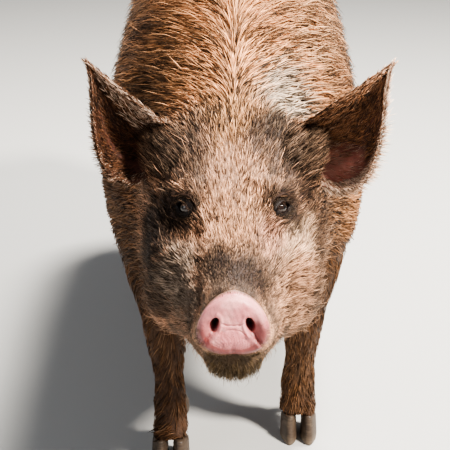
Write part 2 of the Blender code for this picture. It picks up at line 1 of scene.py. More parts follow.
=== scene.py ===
"""A life-size standing pig: skin, face, bristly coat and studio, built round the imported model."""
import math
from collections import namedtuple

import bmesh
import bpy
import numpy as np
from mathutils import Matrix, Vector
from mathutils.bvhtree import BVHTree


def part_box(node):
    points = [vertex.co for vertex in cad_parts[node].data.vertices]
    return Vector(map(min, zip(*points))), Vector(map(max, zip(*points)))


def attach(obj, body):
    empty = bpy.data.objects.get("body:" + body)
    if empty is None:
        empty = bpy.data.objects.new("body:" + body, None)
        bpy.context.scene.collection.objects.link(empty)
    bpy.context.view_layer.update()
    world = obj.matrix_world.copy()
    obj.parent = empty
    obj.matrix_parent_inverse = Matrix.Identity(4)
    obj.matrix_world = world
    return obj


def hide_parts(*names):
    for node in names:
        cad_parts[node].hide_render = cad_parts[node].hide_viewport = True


bl_info = {
    "name": "Standing pig",
    "version": (1, 0, 0),
    "blender": (4, 5, 0),
    "location": "View3D > Sidebar > Pig",
    "description": "Skin, face, bristly coat and studio of a standing pig",
    "category": "Object",
}

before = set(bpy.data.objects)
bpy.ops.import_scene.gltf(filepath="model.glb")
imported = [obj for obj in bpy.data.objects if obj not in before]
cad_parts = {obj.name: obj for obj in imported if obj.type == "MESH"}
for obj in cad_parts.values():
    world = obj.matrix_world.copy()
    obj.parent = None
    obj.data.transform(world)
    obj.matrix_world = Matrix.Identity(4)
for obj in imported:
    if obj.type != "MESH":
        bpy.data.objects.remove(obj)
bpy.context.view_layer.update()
SNOUT_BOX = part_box("snout")
FRONT_Y = SNOUT_BOX[0].y
SIDES = {"left": 1, "right": -1}

FLESH = ("head", "jaw", "neck", "chest", "belly", "rump", "tail") + tuple(
    f"{part}_{word}" for part in ("foreleg", "hindleg", "forefoot", "hindfoot") for word in SIDES
)

CLAWS = tuple(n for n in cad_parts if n.startswith("claw"))

# Landmarks are in millimetres: x, the distance behind the front of the snout, and height.
# A fold follows a path of them; its width and depth are in millimetres too.
Fold = namedtuple("Fold", "landmark path width depth")
FOLDS = (
    Fold("mouth", ((0, 20, 343), (34, 24, 344), (46, 60, 344), (62, 100, 349), (78, 132, 357)),
         2.6, -4.5),
    Fold("first wrinkle of the nose", ((0, 36, 430), (20, 37, 424), (37, 44, 402)), 2.8, -1.6),
    Fold("second wrinkle of the nose", ((0, 52, 434), (22, 53, 428), (41, 60, 404)), 3.2, -1.4),
    Fold("third wrinkle of the nose", ((0, 71, 438), (24, 73, 431), (46, 82, 404)), 3.6, -1.0),
    Fold("corner of the mouth", ((78, 132, 357), (86, 140, 372), (88, 148, 388)), 6, -3),
    Fold("under the cheek", ((66, 118, 402), (82, 152, 410), (94, 186, 424)), 8, -3),
    Fold("eye's hollow", ((46, 150, 444), (56, 152, 436), (72, 168, 440)), 12, -6),
    Fold("brow", ((26, 192, 488), (46, 188, 486), (66, 196, 476)), 11, 4),
    Fold("side of the nose", ((42, 138, 436), (46, 92, 412), (43, 46, 392)), 10, -5),
    Fold("bridge of the nose", ((0, 60, 434), (0, 110, 452), (0, 160, 476)), 15, 3),
    Fold("cheek", ((78, 150, 412), (90, 200, 424)), 20, 4),
    Fold("middle of the forehead", ((0, 200, 500), (0, 250, 522)), 14, -3.5),
    Fold("behind the jowl", ((40, 318, 268), (92, 312, 330), (118, 304, 400)), 17, -9),
    Fold("front of the shoulder", ((130, 402, 330), (160, 400, 430), (135, 410, 540)), 30, -8),
    Fold("behind the elbow", ((150, 580, 300), (182, 590, 380), (186, 620, 470)), 34, -9),
    Fold("flank", ((110, 990, 300), (165, 1000, 370), (180, 1040, 470)), 34, -10),
)

EYE_TURN = math.radians(50)
EYE_LIFT = math.radians(14)
SLIT = (0.0112, 0.0074)  # Half the width and height of the opening between the lids.
LID_MARGIN = 0.14  # The share of a lid's rows that bends in to its bare edge.
EAR_ROOT = (70, 272, 522)
EAR_BASE = (82, 248, 505)
EAR_TIPS = {"left": (183, 225, 615), "right": (168, 225, 617)}
EAR_WIDTHS = {"left": 0.100, "right": 0.092}  # Metres.
CORONET_Z = 0.037  # Where skin gives way to claw.
BAKE_PATCH = 0.003  # The side of a tuft's patch in OFBake.
TAIL_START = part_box("rump")[1].y - FRONT_Y + 0.003
TAIL_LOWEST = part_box("tail")[0].z - 0.01


# Small helpers on points, kept as arrays with one row each.

def unit(rows):
    return rows / np.maximum(np.linalg.norm(rows, axis=-1, keepdims=True), 1e-9)


def ramp(low, high, value):
    """From 0 at low to 1 at high, easing in and out."""
    t = np.clip((value - low) / (high - low), 0.0, 1.0)
    return t * t * (3 - 2 * t)


def bump_at(value, centre, width):
    return np.exp(-((value - centre) / width) ** 2)


def blob(x, z, centre, size):
    """1 at the centre, fading with the distance from it."""
    return np.exp(-((x - centre[0]) / size[0]) ** 2 - ((z - centre[1]) / size[1]) ** 2)


def stack(*parts):
    return np.stack(np.broadcast_arrays(*parts), axis=-1)


def behind_snout(points):
    return points[..., 1] - FRONT_Y


def placed(landmark, side=1):
    """A landmark as a point of the frame."""
    x, behind, up = (part / 1000 for part in landmark)
    return np.array((side * x, behind + FRONT_Y, up))


def flattened(ways, normals, share=1.0):
    """Directions less that share of what stands out of the surface."""
    return unit(ways - share * (ways * normals).sum(axis=1, keepdims=True) * normals)


def to_path(points, path):
    """The distance of each point to a bent line."""
    best = np.full(len(points), np.inf)
    for a, b in zip(path[:-1], path[1:]):
        line = b - a
        t = np.clip((points - a) @ line / (line @ line), 0.0, 1.0)
        best = np.minimum(best, np.linalg.norm(points - a - t[:, None] * line, axis=1))
    return best


def waves(points, length, seed):
    """Smooth random swells of about that wavelength, from -1 to 1."""
    chance = np.random.default_rng(seed)
    total = np.zeros(len(points))
    for _ in range(6):
        way = unit(chance.normal(size=3)) * 2 * math.pi / (length * chance.uniform(0.7, 1.4))
        total += np.sin(points @ way + chance.uniform(0, 2 * math.pi))
    return total / 3.2


def turned(vectors, axes, angles):
    """Vectors turned about axes they are square to."""
    return vectors * np.cos(angles)[:, None] + np.cross(axes, vectors) * np.sin(angles)[:, None]


# Meshes.

def read(items, key, width=3, kind=np.float32):
    out = np.empty(len(items) * width, kind)
    items.foreach_get(key, out)
    return out.reshape(-1, width)


def fill(items, key, values, kind=np.float32):
    items.foreach_set(key, np.asarray(values, kind).ravel())


def coords(obj):
    return read(obj.data.vertices, "co").astype(float)


def set_coords(obj, points):
    fill(obj.data.vertices, "co", points)
    obj.data.update()


def vertex_normals(obj):
    return read(obj.data.vertex_normals, "vector").astype(float)


def relax(obj, points, share, rounds):
    """Draws each point towards its neighbours' middle by its own share, that many times."""
    ends = read(obj.data.edges, "vertices", 2, np.int32)
    both = np.concatenate([ends, ends[:, ::-1]])
    total = len(points)
    count = np.maximum(np.bincount(both[:, 0], minlength=total), 1)
    for _ in range(rounds):
        middle = stack(*(
            np.bincount(both[:, 0], weights=points[both[:, 1], c], minlength=total) / count
            for c in range(3)
        ))
        points = points + (middle - points) * share[:, None]
    return points


def grid(bm, columns, rows):
    """A new grid's vertices, and how far each lies along both sides of it, from 0 to 1."""
    start = len(bm.verts)
    bmesh.ops.create_grid(bm, x_segments=columns, y_segments=rows, size=0.5)
    bm.verts.ensure_lookup_table()
    made = bm.verts[start:]
    place = np.array([v.co for v in made]) + 0.5
    return made, place[:, 0], place[:, 1]


def lay(verts, points, layer, look):
    for vert, place, value in zip(verts, points, look):
        vert.co = place
        vert[layer] = value


def linked(name, data):
    """A new object of the scene that shows the data."""
    obj = bpy.data.objects.new(name, data)
    bpy.context.scene.collection.objects.link(obj)
    return obj


def new_object(name, bm):
    mesh = bpy.data.meshes.new(name)
    bm.to_mesh(mesh)
    bm.free()
    return linked(name, mesh)


def finish_piece(obj, finish, replaced=()):
    """Makes the object a smooth, finished piece that rides on the body."""
    fill(obj.data.polygons, "use_smooth", np.ones(len(obj.data.polygons)), bool)
    obj.data.materials.clear()
    obj.data.materials.append(finish)
    obj.data.update()
    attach(obj, "root")
    if replaced:
        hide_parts(*replaced)
    return obj


def copied_nodes(names, name):
    """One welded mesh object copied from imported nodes."""
    bm = bmesh.new()
    for node in names:
        bm.from_mesh(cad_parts[node].data)
    bmesh.ops.remove_doubles(bm, verts=bm.verts, dist=0.00002)
    return new_object(name, bm)


def remeshed(obj, size):
    """The object fused into one even skin of squares."""
    modifier = obj.modifiers.new("fuse", "REMESH")
    modifier.mode = "VOXEL"
    modifier.voxel_size = size
    bpy.context.view_layer.update()
    graph = bpy.context.evaluated_depsgraph_get()
    mesh = bpy.data.meshes.new_from_object(obj.evaluated_get(graph))
    obj.modifiers.clear()
    old, obj.data = obj.data, mesh
    bpy.data.meshes.remove(old)
    return obj


def unwrap(obj):
    """Lays the surface out flat in islands by its own shape."""
    bpy.context.view_layer.objects.active = obj
    obj.select_set(True)
    obj.data.uv_layers.new(name="Unwrap")
    bpy.ops.object.mode_set(mode="EDIT")
    bpy.ops.mesh.select_all(action="SELECT")
    bpy.ops.uv.smart_project(angle_limit=math.radians(66), island_margin=0.002)
    bpy.ops.object.mode_set(mode="OBJECT")
    obj.select_set(False)


# Materials. A field is one value, vector or colour worked out by nodes.

def worked(operation, swapped=False):
    """A method that joins a field and another value by a maths node."""
    def method(self, other):
        return self.combined(operation, *((other, self) if swapped else (self, other)))
    return method


class Field:
    def __init__(self, recipe, socket):
        self.recipe = recipe
        self.socket = socket

    def combined(self, operation, first, second):
        parts = [p.socket.type if isinstance(p, Field) else p for p in (first, second)]
        flat = all(p == "VALUE" or isinstance(p, (int, float)) for p in parts)
        kind = "ShaderNodeMath" if flat else "ShaderNodeVectorMath"
        if not flat:
            first, second = (
                (p, p, p) if isinstance(p, (int, float)) else p for p in (first, second)
            )
        return self.recipe.node(kind, {"operation": operation}, {0: first, 1: second})

    __add__, __radd__ = worked("ADD"), worked("ADD", True)
    __sub__, __rsub__ = worked("SUBTRACT"), worked("SUBTRACT", True)
    __mul__, __rmul__ = worked("MULTIPLY"), worked("MULTIPLY", True)
    __truediv__, least = worked("DIVIDE"), worked("MINIMUM")

    def length(self):
        return self.recipe.node("ShaderNodeVectorMath", {"operation": "LENGTH"}, {0: self}, 1)

    def part(self, axis):
        return self.recipe.node("ShaderNodeSeparateXYZ", {}, {0: self}, axis)

    def parts(self):
        return [self.part(axis) for axis in range(3)]

    def ramp(self, low, high):
        """From 0 at low to 1 at high, easing in and out."""
        return self.recipe.node(
            "ShaderNodeMapRange", {"interpolation_type": "SMOOTHSTEP"}, {0: self, 1: low, 2: high}
        )


class Recipe:
    """One Principled material and the nodes that feed it."""

    def __init__(self, name):
        self.material = bpy.data.materials.new(name)
        self.material.use_nodes = True
        self.tree = self.material.node_tree
        self.shader = self.tree.nodes["Principled BSDF"]

    def node(self, kind, settings, inputs, output=0):
        made = self.tree.nodes.new(kind)
        for name, value in settings.items():
            setattr(made, name, value)
        for key, value in inputs.items():
            if isinstance(value, Field):
                self.tree.links.new(value.socket, made.inputs[key])
            else:
                made.inputs[key].default_value = value
        return Field(self, made.outputs[output])

    def place(self):
        return self.node("ShaderNodeTexCoord", {}, {}, "Object")

    def attribute(self, name):
        return self.node("ShaderNodeAttribute", {"attribute_name": name}, {}, "Vector")

    def noise(self, place, scale, detail=3.0, rough=0.55):
        inputs = {"Vector": place, "Scale": scale, "Detail": detail, "Roughness": rough}
        return self.node("ShaderNodeTexNoise", {}, inputs)

    def mix(self, first, second, share):
        first, second = ((*p, 1.0) if isinstance(p, tuple) else p for p in (first, second))
        return self.node("ShaderNodeMix", {"data_type": "RGBA"}, {0: share, 6: first, 7: second}, 2)

    def bump(self, height, distance):
        return self.node("ShaderNodeBump", {}, {"Height": height, "Distance": distance})

    def finish(self, varied, **constants):
        """Feeds the shader's varied sockets, and sets the others to constants."""
        for key, value in varied.items():
            self.tree.links.new(value.socket, self.shader.inputs[key])
        for key, value in constants.items():
            name = key.replace("_", " ").title().replace("Ior", "IOR")
            self.shader.inputs[name].default_value = value
        return self.material


GINGER = (0.67, 0.33, 0.155)
DEEP_GINGER = (0.40, 0.190, 0.092)
DARK = (0.018, 0.010, 0.006)
# A smoky dark colour darkened further by painted shade, for the right cheek.
SMOKE_IN_PAINTED_SHADE = (0.020, 0.014, 0.012)
BROWN = (0.085, 0.044, 0.025)
GREY = (0.140, 0.092, 0.064)
SMOKE = (0.055, 0.036, 0.025)
CREAM = (0.68, 0.46, 0.30)
TAN = (0.62, 0.340, 0.205)
DULL_TAN = (0.55, 0.295, 0.17)
ROSE = (0.64, 0.32, 0.22)
FAWN = (0.50, 0.255, 0.115)
# Painted sunlight: the colour of the coat where the sun falls on it.
SUNLIT = (0.80, 0.47, 0.27)
ASH = (0.36, 0.27, 0.205)
SILVER = (0.66, 0.54, 0.42)
# The chin's own brown with a painted green reflection of grass.
OLIVE_AND_GRASS_REFLECTION = (0.16, 0.112, 0.048)
# The chin's brown darkened by painted shade under the disc, with a painted green reflection of
# grass.
DARK_OLIVE_SHADE_AND_GRASS_REFLECTION = (0.110, 0.072, 0.036)

# A patch of colour, a few of them painted sunlight, shade or reflection: its middle and size in
# millimetres, its strength and how soft its edge is.
Patch = namedtuple("Patch", "landmark centre size colour strength soft")
PATCHES = (
    Patch("forehead", (2, 205, 498), (40, 58, 44), TAN, 0.95, 0.8),
    Patch("bridge of the nose", (4, 135, 452), (34, 64, 42), DULL_TAN, 0.95, 0.8),
    Patch("silver patch behind the poll", (60, 322, 557), (36, 58, 48), SILVER, 0.92, 0.8),
    # Painted shade in the hollow behind the right ear.
    Patch("painted shade in the hollow behind the right ear", (-107, 360, 535), (44, 70, 65), DARK, 0.62, 0.8),
    Patch("left ear's root", (86, 263, 518), (38, 46, 38), DARK, 0.80, 0.8),
    Patch("under the left ear's root", (98, 236, 480), (22, 34, 34), DARK, 0.75, 0.9),
    Patch("right ear's root", (-85, 252, 510), (42, 52, 42), DARK, 0.78, 0.8),
    Patch("ginger of the poll", (-2, 268, 530), (38, 52, 34), FAWN, 0.90, 0.9),
    Patch("dark tuft of the poll", (48, 256, 525), (40, 40, 34), DARK, 0.90, 0.9),
    Patch("right side of the poll", (-44, 262, 522), (26, 36, 32), SMOKE, 0.75, 0.9),
    Patch("over the right eye", (-60, 226, 492), (34, 48, 40), SMOKE, 0.85, 0.9),
    Patch("over the left eye", (72, 230, 492), (38, 50, 40), SMOKE, 0.95, 0.9),
    Patch("side of the forehead", (40, 232, 515), (24, 34, 28), SMOKE, 0.62, 0.9),
    Patch("left cheek", (76, 144, 420), (36, 50, 38), CREAM, 0.95, 0.8),
    Patch("inner side of the left cheek", (44, 138, 436), (20, 36, 26), ROSE, 0.65, 0.8),
    Patch("left lower cheek", (75, 127, 387), (36, 50, 36), TAN, 0.90, 0.8),
    Patch("behind the left cheek", (118, 285, 390), (36, 85, 85), BROWN, 0.85, 0.9),
    Patch("edge of the left jowl", (108, 195, 410), (24, 75, 75), BROWN, 0.92, 0.9),
    Patch("left side of the muzzle", (51, 85, 381), (22, 36, 26), TAN, 0.80, 0.8),
    # The right cheek's smoky patch with painted shade: darkened almost to black, as the cheek lies
    # in shade.
    Patch("right cheek", (-86, 165, 425), (49, 74, 56), SMOKE_IN_PAINTED_SHADE, 0.98, 0.8),
    # Painted shade: the right shoulder is darkened, as it lies in shade.
    Patch("painted shade on the right shoulder", (-160, 370, 400), (55, 110, 130), DARK, 0.65, 0.9),
    Patch("inner side of the right cheek", (-43, 133, 434), (20, 34, 24), TAN, 0.60, 0.9),
    Patch("right side of the muzzle", (-62, 105, 392), (34, 50, 38), ASH, 0.80, 0.8),
    Patch("middle of the saddle", (10, 62, 430), (38, 30, 32), DARK, 0.97, 0.8),
    Patch("right end of the saddle", (-22, 84, 427), (22, 24, 20), DARK, 0.92, 0.8),
    Patch("left end of the saddle", (34, 58, 408), (20, 26, 24), DARK, 0.90, 0.8),
    Patch("left eye", (60, 172, 460), (27, 30, 26), DARK, 0.97, 0.6),
    Patch("under the left eye", (73, 170, 444), (16, 24, 20), SMOKE, 0.92, 0.8),
    Patch("right eye", (-61, 178, 456), (32, 34, 28), DARK, 0.95, 0.7),
    Patch("streak under the left eye", (86, 181, 436), (10, 24, 22), CREAM, 0.85, 0.8),
    Patch("spot beside the left eye", (88, 205, 462), (19, 26, 24), DARK, 0.92, 0.8),
    # Painted sunlight on the left side of the back.
    Patch("painted sunlight on the left side of the back", (96, 460, 606), (46, 160, 55), SUNLIT, 0.70, 0.9),
    Patch("end of the tail", (10, 1362, 450), (60, 60, 60), BROWN, 0.80, 0.9),
    # The chin: its own brown hair with a painted green reflection of grass.
    Patch("chin", (0, 34, 322), (50, 58, 28), OLIVE_AND_GRASS_REFLECTION, 0.90, 0.7),
    # Painted shade under the disc, tinted by a painted reflection of grass.
    Patch("painted shade under the disc", (0, 16, 340), (46, 26, 17), DARK_OLIVE_SHADE_AND_GRASS_REFLECTION, 0.85, 0.8),
)


def markings(recipe, place, stray=0.0):
    """The colours of the hide by place on the animal, with painted shade on its right side and
    painted sunlight, shade and reflection in a few patches; the skin and the coat share them.
    """
    swell = recipe.noise(place, 7.0, 3.0)
    mottle = recipe.noise(place * (1.0, 0.5, 0.5), 44.0, 4.0, 0.65)
    across, along, up = place.parts()
    body = recipe.mix(DEEP_GINGER, GINGER, (swell + (mottle - 0.5) * 0.5).ramp(0.36, 0.60))
    # Painted shade: the pig's right side (towards -x) is darkened, as it lies in shade.
    body = recipe.mix(body, DARK, across.ramp(0.02, -0.20) * 0.18)
    low = (up + (mottle - 0.5) * 0.06).ramp(0.44, 0.28)
    body = recipe.mix(body, DARK, low * 0.72)
    head = recipe.mix(GREY, TAN, (mottle + (swell - 0.5) * 0.7).ramp(0.38, 0.60))
    head = recipe.mix(head, DEEP_GINGER, across.ramp(0.09, 0.13) * 0.5)
    behind = along - FRONT_Y + (mottle - 0.5) * 0.10
    colour = recipe.mix(head, body, behind.ramp(0.235, 0.335))
    wander = (recipe.noise(place * (1.0, 0.6, 0.6), 38.0, 4.0, 0.65) - 0.5) * 1.5 + stray
    for patch in PATCHES:
        size = tuple(part / 1000 for part in patch.size)
        away = ((place - tuple(placed(patch.centre))) / size).length() + wander
        share = away.ramp(1.25, 1.25 - patch.soft) * patch.strength
        colour = recipe.mix(colour, patch.colour, share)
    return colour


def skin_finish():
    recipe = Recipe("hide")
    place = recipe.place()
    pores = recipe.noise(place, 420.0, 3.0)
    streaks = recipe.noise(place * (1.0, 0.35, 0.6), 260.0, 3.0)
    head = (place.part(1) - FRONT_Y).ramp(0.34, 0.26)
    # Painted shade: the skin between the hairs is the hide's colour darkened to 0.42, where the
    # coat shades it.
    colour = recipe.mix(markings(recipe, place) * 0.42, (0.30, 0.15, 0.11), head * 0.05 + 0.02)
    colour = recipe.mix(colour, colour * 0.6, streaks.ramp(0.45, 0.62))
    return recipe.finish(
        {"Base Color": colour, "Normal": recipe.bump(pores + streaks * 1.5, 0.0012)},
        roughness=0.62, specular_ior_level=0.2,
    )


def hair_colour(recipe, colour, pale, darker=0.0):
    """Varies a hide's colour from hair to hair: some dark, some pale, all with painted shade at the
    root and a painted glint towards the tip.
    """
    tint, along, other = recipe.attribute("hair").parts()
    root = recipe.attribute("root")
    clumps = recipe.noise(root, 16.0, 2.0).ramp(0.42, 0.70)
    lock = recipe.noise(root * (1.0, 0.4, 0.6), 270.0, 2.0).ramp(0.34, 0.66)
    colour = colour * (other.ramp(0.1, 0.9) * 0.55 + lock * 0.70 + 0.36)
    bright = recipe.mix(colour * 1.45, pale, 0.16)
    colour = recipe.mix(colour, bright, tint.ramp(0.26, 0.16) * 0.85)
    darkest = tint + clumps * 0.30 + darker - lock * 0.16 + 0.06
    colour = recipe.mix(colour, DARK, darkest.ramp(0.92, 0.95) * 0.88)
    # Painted shade and highlight: each hair darker at the root, where the hairs shade each other,
    # and lighter to the tip, where light glints on it.
    return colour * (along * 0.85 + 0.32)


def coat_finish():
    recipe = Recipe("bristles")
    root = recipe.attribute("root")
    behind = root.part(1) - FRONT_Y
    poll = behind.ramp(0.16, 0.25) * behind.ramp(0.40, 0.28)
    face = behind.ramp(0.26, 0.14) * 0.11
    # Hair by hair, the pale ones of a patch reach less far than its dark ones.
    stray = (recipe.attribute("hair").part(2) - 0.65) * 0.75
    colour = hair_colour(recipe, markings(recipe, root, stray), CREAM, poll * 0.22 + face)
    return recipe.finish({"Base Color": colour}, roughness=0.55, specular_ior_level=0.10)


def ear_coat_finish():
    recipe = Recipe("ear hair")
    hair = recipe.attribute("hair")
    tint, other = hair.part(0), hair.part(2)
    left = recipe.place().part(0).ramp(-0.02, 0.02)
    # Painted shade: the right ear's hair (towards -x) is darker than the left ear's, as that ear
    # lies in shade.
    colour = recipe.mix((0.060, 0.030, 0.018), (0.19, 0.082, 0.040), other)
    brown = recipe.mix((0.11, 0.055, 0.032), (0.42, 0.195, 0.095), other)
    colour = recipe.mix(colour, brown, left)
    colour = recipe.mix(colour, (0.66, 0.48, 0.36), tint.ramp(0.0, -0.25) * 0.85)
    colour = hair_colour(recipe, colour, SILVER)
    return recipe.finish({"Base Color": colour}, roughness=0.55, specular_ior_level=0.18)


def snout_finish():
    recipe = Recipe("bare snout")
    place = recipe.place()
    depth, red_and_painted_shade, edge = recipe.attribute("look").parts()
    blotch = recipe.noise(place, 60.0).ramp(0.35, 0.65)
    colour = recipe.mix((0.66, 0.22, 0.225), (0.80, 0.35, 0.335), blotch)
    # Red-dark skin, partly real redness and partly painted shade, on the wings, by the nostrils and
    # on the lower rim.
    colour = recipe.mix(colour, (0.20, 0.042, 0.040), red_and_painted_shade)
    spots = recipe.noise(place, 520.0, 1.0).ramp(0.58, 0.66) * (red_and_painted_shade * 1.2 + 0.12).least(1.0)
    colour = recipe.mix(colour, (0.16, 0.035, 0.035), spots * 0.75)
    # Painted shade: dark deep in the nostrils, most on their inner sides.
    colour = recipe.mix(colour, (0.055, 0.012, 0.012), depth)
    colour = recipe.mix(colour, markings(recipe, place) * 0.7, edge)
    fine = recipe.noise(place, 700.0, 4.0, 0.7)
    cells = recipe.node("ShaderNodeTexVoronoi", {"feature": "DISTANCE_TO_EDGE"},
                        {"Vector": place + fine * 0.0012, "Scale": 760.0})
    height = cells.ramp(0.0, 0.35) * 0.6 + fine * 1.2
    rough = recipe.noise(place, 150.0) * 0.25 + 0.24
    return recipe.finish(
        {"Base Color": colour, "Roughness": rough, "Normal": recipe.bump(height, 0.00030)},
        subsurface_weight=0.12, subsurface_scale=0.003, coat_weight=0.25, coat_roughness=0.3,
    )


def lid_finish():
    recipe = Recipe("bare lids")
    place, edge = recipe.place(), recipe.attribute("look").part(0)
    colour = recipe.mix(markings(recipe, place) * 0.30, (0.014, 0.009, 0.009), edge)
    bump = recipe.bump(recipe.noise(place, 520.0, 4.0, 0.7), 0.0006)
    return recipe.finish(
        {"Base Color": colour, "Roughness": 0.66 - edge * 0.28, "Normal": bump},
        specular_ior_level=0.22,
    )


def ear_finish():
    recipe = Recipe("ear skin")
    place, look = recipe.place(), recipe.attribute("look")
    bare, edge = look.part(0), look.part(2)
    blotch = recipe.noise(place, 45.0)
    dark = recipe.mix((0.030, 0.014, 0.010), (0.085, 0.032, 0.020), blotch.ramp(0.35, 0.65))
    pink = recipe.mix((0.78, 0.38, 0.30), (0.56, 0.22, 0.17), blotch.ramp(0.4, 0.6))
    # Painted shade: on the right ear (towards -x) the reddish and pink skin is held back, so that
    # ear stays dark, as it lies in shade.
    left = place.part(0).ramp(-0.01, 0.01) * 0.9 + 0.1
    share = bare + (blotch - 0.5) * 0.6
    colour = recipe.mix(dark, (0.21, 0.075, 0.055), share.ramp(0.05, 0.55) * left)
    colour = recipe.mix(colour, pink, share.ramp(0.55, 1.15) * left)
    colour = recipe.mix(colour, (0.30, 0.17, 0.12), edge * left * 0.5)
    bump = recipe.bump(recipe.noise(place, 480.0, 4.0, 0.7), 0.0006)
    return recipe.finish(
        {"Base Color": colour, "Normal": bump}, roughness=0.58, specular_ior_level=0.25,
        subsurface_weight=0.12, subsurface_scale=0.004,
    )


def eye_finish():
    """Pupil, iris, its dark rim and the brownish white, by the distance from the eye's middle."""
    recipe = Recipe("eye")
    look = recipe.attribute("look").part(0)
    fleck = recipe.noise(recipe.place(), 900.0, 2.0)
    iris = recipe.mix((0.009, 0.005, 0.004), (0.022, 0.011, 0.007), fleck.ramp(0.35, 0.65))
    colour = recipe.mix((0.004, 0.003, 0.003), iris, look.ramp(0.20, 0.24))
    colour = recipe.mix(colour, (0.020, 0.010, 0.008), look.ramp(0.42, 0.48))
    colour = recipe.mix(colour, (0.034, 0.022, 0.019), look.ramp(0.50, 0.56))
    return recipe.finish(
        {"Base Color": colour}, roughness=0.10, specular_ior_level=0.5, coat_weight=0.4,
        coat_roughness=0.05,
    )


def horn_finish():
    recipe = Recipe("horn")
    place = recipe.place()
    rings = recipe.noise(place * (1.0, 1.0, 9.0), 60.0)
    blotch = recipe.noise(place, 90.0)
    colour = recipe.mix((0.042, 0.029, 0.021), (0.066, 0.046, 0.032), rings.ramp(0.35, 0.65))
    colour = recipe.mix(colour, (0.120, 0.088, 0.060), blotch.ramp(0.52, 0.72) * 0.6)
    worn = (place.part(2) + (blotch - 0.5) * 0.012).ramp(0.014, 0.0)
    colour = recipe.mix(colour, (0.17, 0.130, 0.092), worn * 0.7)
    return recipe.finish(
        {"Base Color": colour, "Normal": recipe.bump(rings, 0.0005)}, roughness=0.5,
        specular_ior_level=0.3,
    )


# The eyes' own frames.

def eye_matrix(word):
    """An eye's own frame: +Z looks out between the lids and +X runs along them."""
    low, high = EYE_BOXES[word]
    turn = Matrix.Rotation(SIDES[word] * EYE_TURN, 4, "Z")
    tilt = Matrix.Rotation(math.pi / 2 - EYE_LIFT, 4, "X")
    return Matrix.Translation((low + high) / 2) @ (turn @ tilt)


EYE_BOXES = {word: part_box("eye_" + word) for word in SIDES}
EYE_FRAMES = {word: eye_matrix(word) for word in SIDES}
# An eyeball is a little smaller than its solid, so that it lies that much deeper.
EYE_RADII = {word: (high.z - low.z) * 0.45 for word, (low, high) in EYE_BOXES.items()}


def moved(points, matrix):
    rows = np.array(matrix)
    return points @ rows[:3, :3].T + rows[:3, 3]


def in_eye(points, word):
    return moved(points, EYE_FRAMES[word].inverted())


def from_eye(points, word):
    return moved(points, EYE_FRAMES[word])


def ways_from_eye(ways, word):
    return ways @ np.array(EYE_FRAMES[word])[:3, :3].T


# The skin.

def coat_depth(points):
    """How far the skin lies inside the solids, by place."""
    s, z = behind_snout(points), points[:, 2]
    depth = 0.0012 + 0.0020 * ramp(0.06, 0.20, s) + 0.0030 * ramp(0.26, 0.42, s)
    for word in SIDES:
        away = np.linalg.norm(in_eye(points, word), axis=1)
        depth = depth * (0.2 + 0.8 * ramp(0.018, 0.038, away))
    leg = 0.65 * (1 - ramp(0.22, 0.34, z)) * ramp(0.36, 0.44, s)
    depth = depth * (1 - leg) * (1 - 0.8 * ramp(1.32, 1.345, s))
    return depth - 0.0032 * bump_at(z, CORONET_Z + 0.006, 0.010)


def refine(obj, wanted):
    """Splits the edges of the faces whose middle is wanted."""
    bm = bmesh.new()
    bm.from_mesh(obj.data)
    middles = np.array([f.calc_center_median() for f in bm.faces])
    edges = {e for f, yes in zip(bm.faces, wanted(middles)) if yes for e in f.edges}
    bmesh.ops.subdivide_edges(bm, edges=list(edges), cuts=1, use_grid_fill=True, smooth=0.0)
    bm.to_mesh(obj.data)
    bm.free()


def whole_head(points):
    return behind_snout(points) < 0.36


def fine_head(points):
    """The muzzle and round the eyes."""
    wanted = (behind_snout(points) < 0.10) & (points[:, 2] > 0.30)
    for word in SIDES:
        wanted |= np.linalg.norm(in_eye(points, word), axis=1) < 0.042
    return wanted


def sculpt(obj):
    """Folds, creases and swells of the skin, and the hollows that the eyes lie in."""
    points, normals = coords(obj), vertex_normals(obj)
    mirrored = points.copy()
    mirrored[:, 0] = np.abs(points[:, 0])
    lift = np.zeros(len(points))
    for fold in FOLDS:
        away = to_path(mirrored, np.array([placed(p) for p in fold.path]))
        lift += fold.depth / 1000 * bump_at(away, 0, fold.width / 1000)
    s = behind_snout(points)
    lift += 0.0016 * waves(points, 0.085, 3) * ramp(0.25, 0.45, s)
    lift += 0.0005 * waves(points, 0.022, 5) * (1 - ramp(0.02, 0.20, s) * 0.4)
    points = points + normals * lift[:, None]
    for word in SIDES:
        local = in_eye(points, word)
        across = np.hypot(local[:, 0] / 1.15, local[:, 1])
        inside = (1 - ramp(0.0105, 0.0150, across)) * (np.abs(local[:, 2]) < 0.035)
        local[:, 2] -= inside * (local[:, 2] + 0.002)
        points = np.where((inside > 0)[:, None], from_eye(local, word), points)
    set_coords(obj, points)


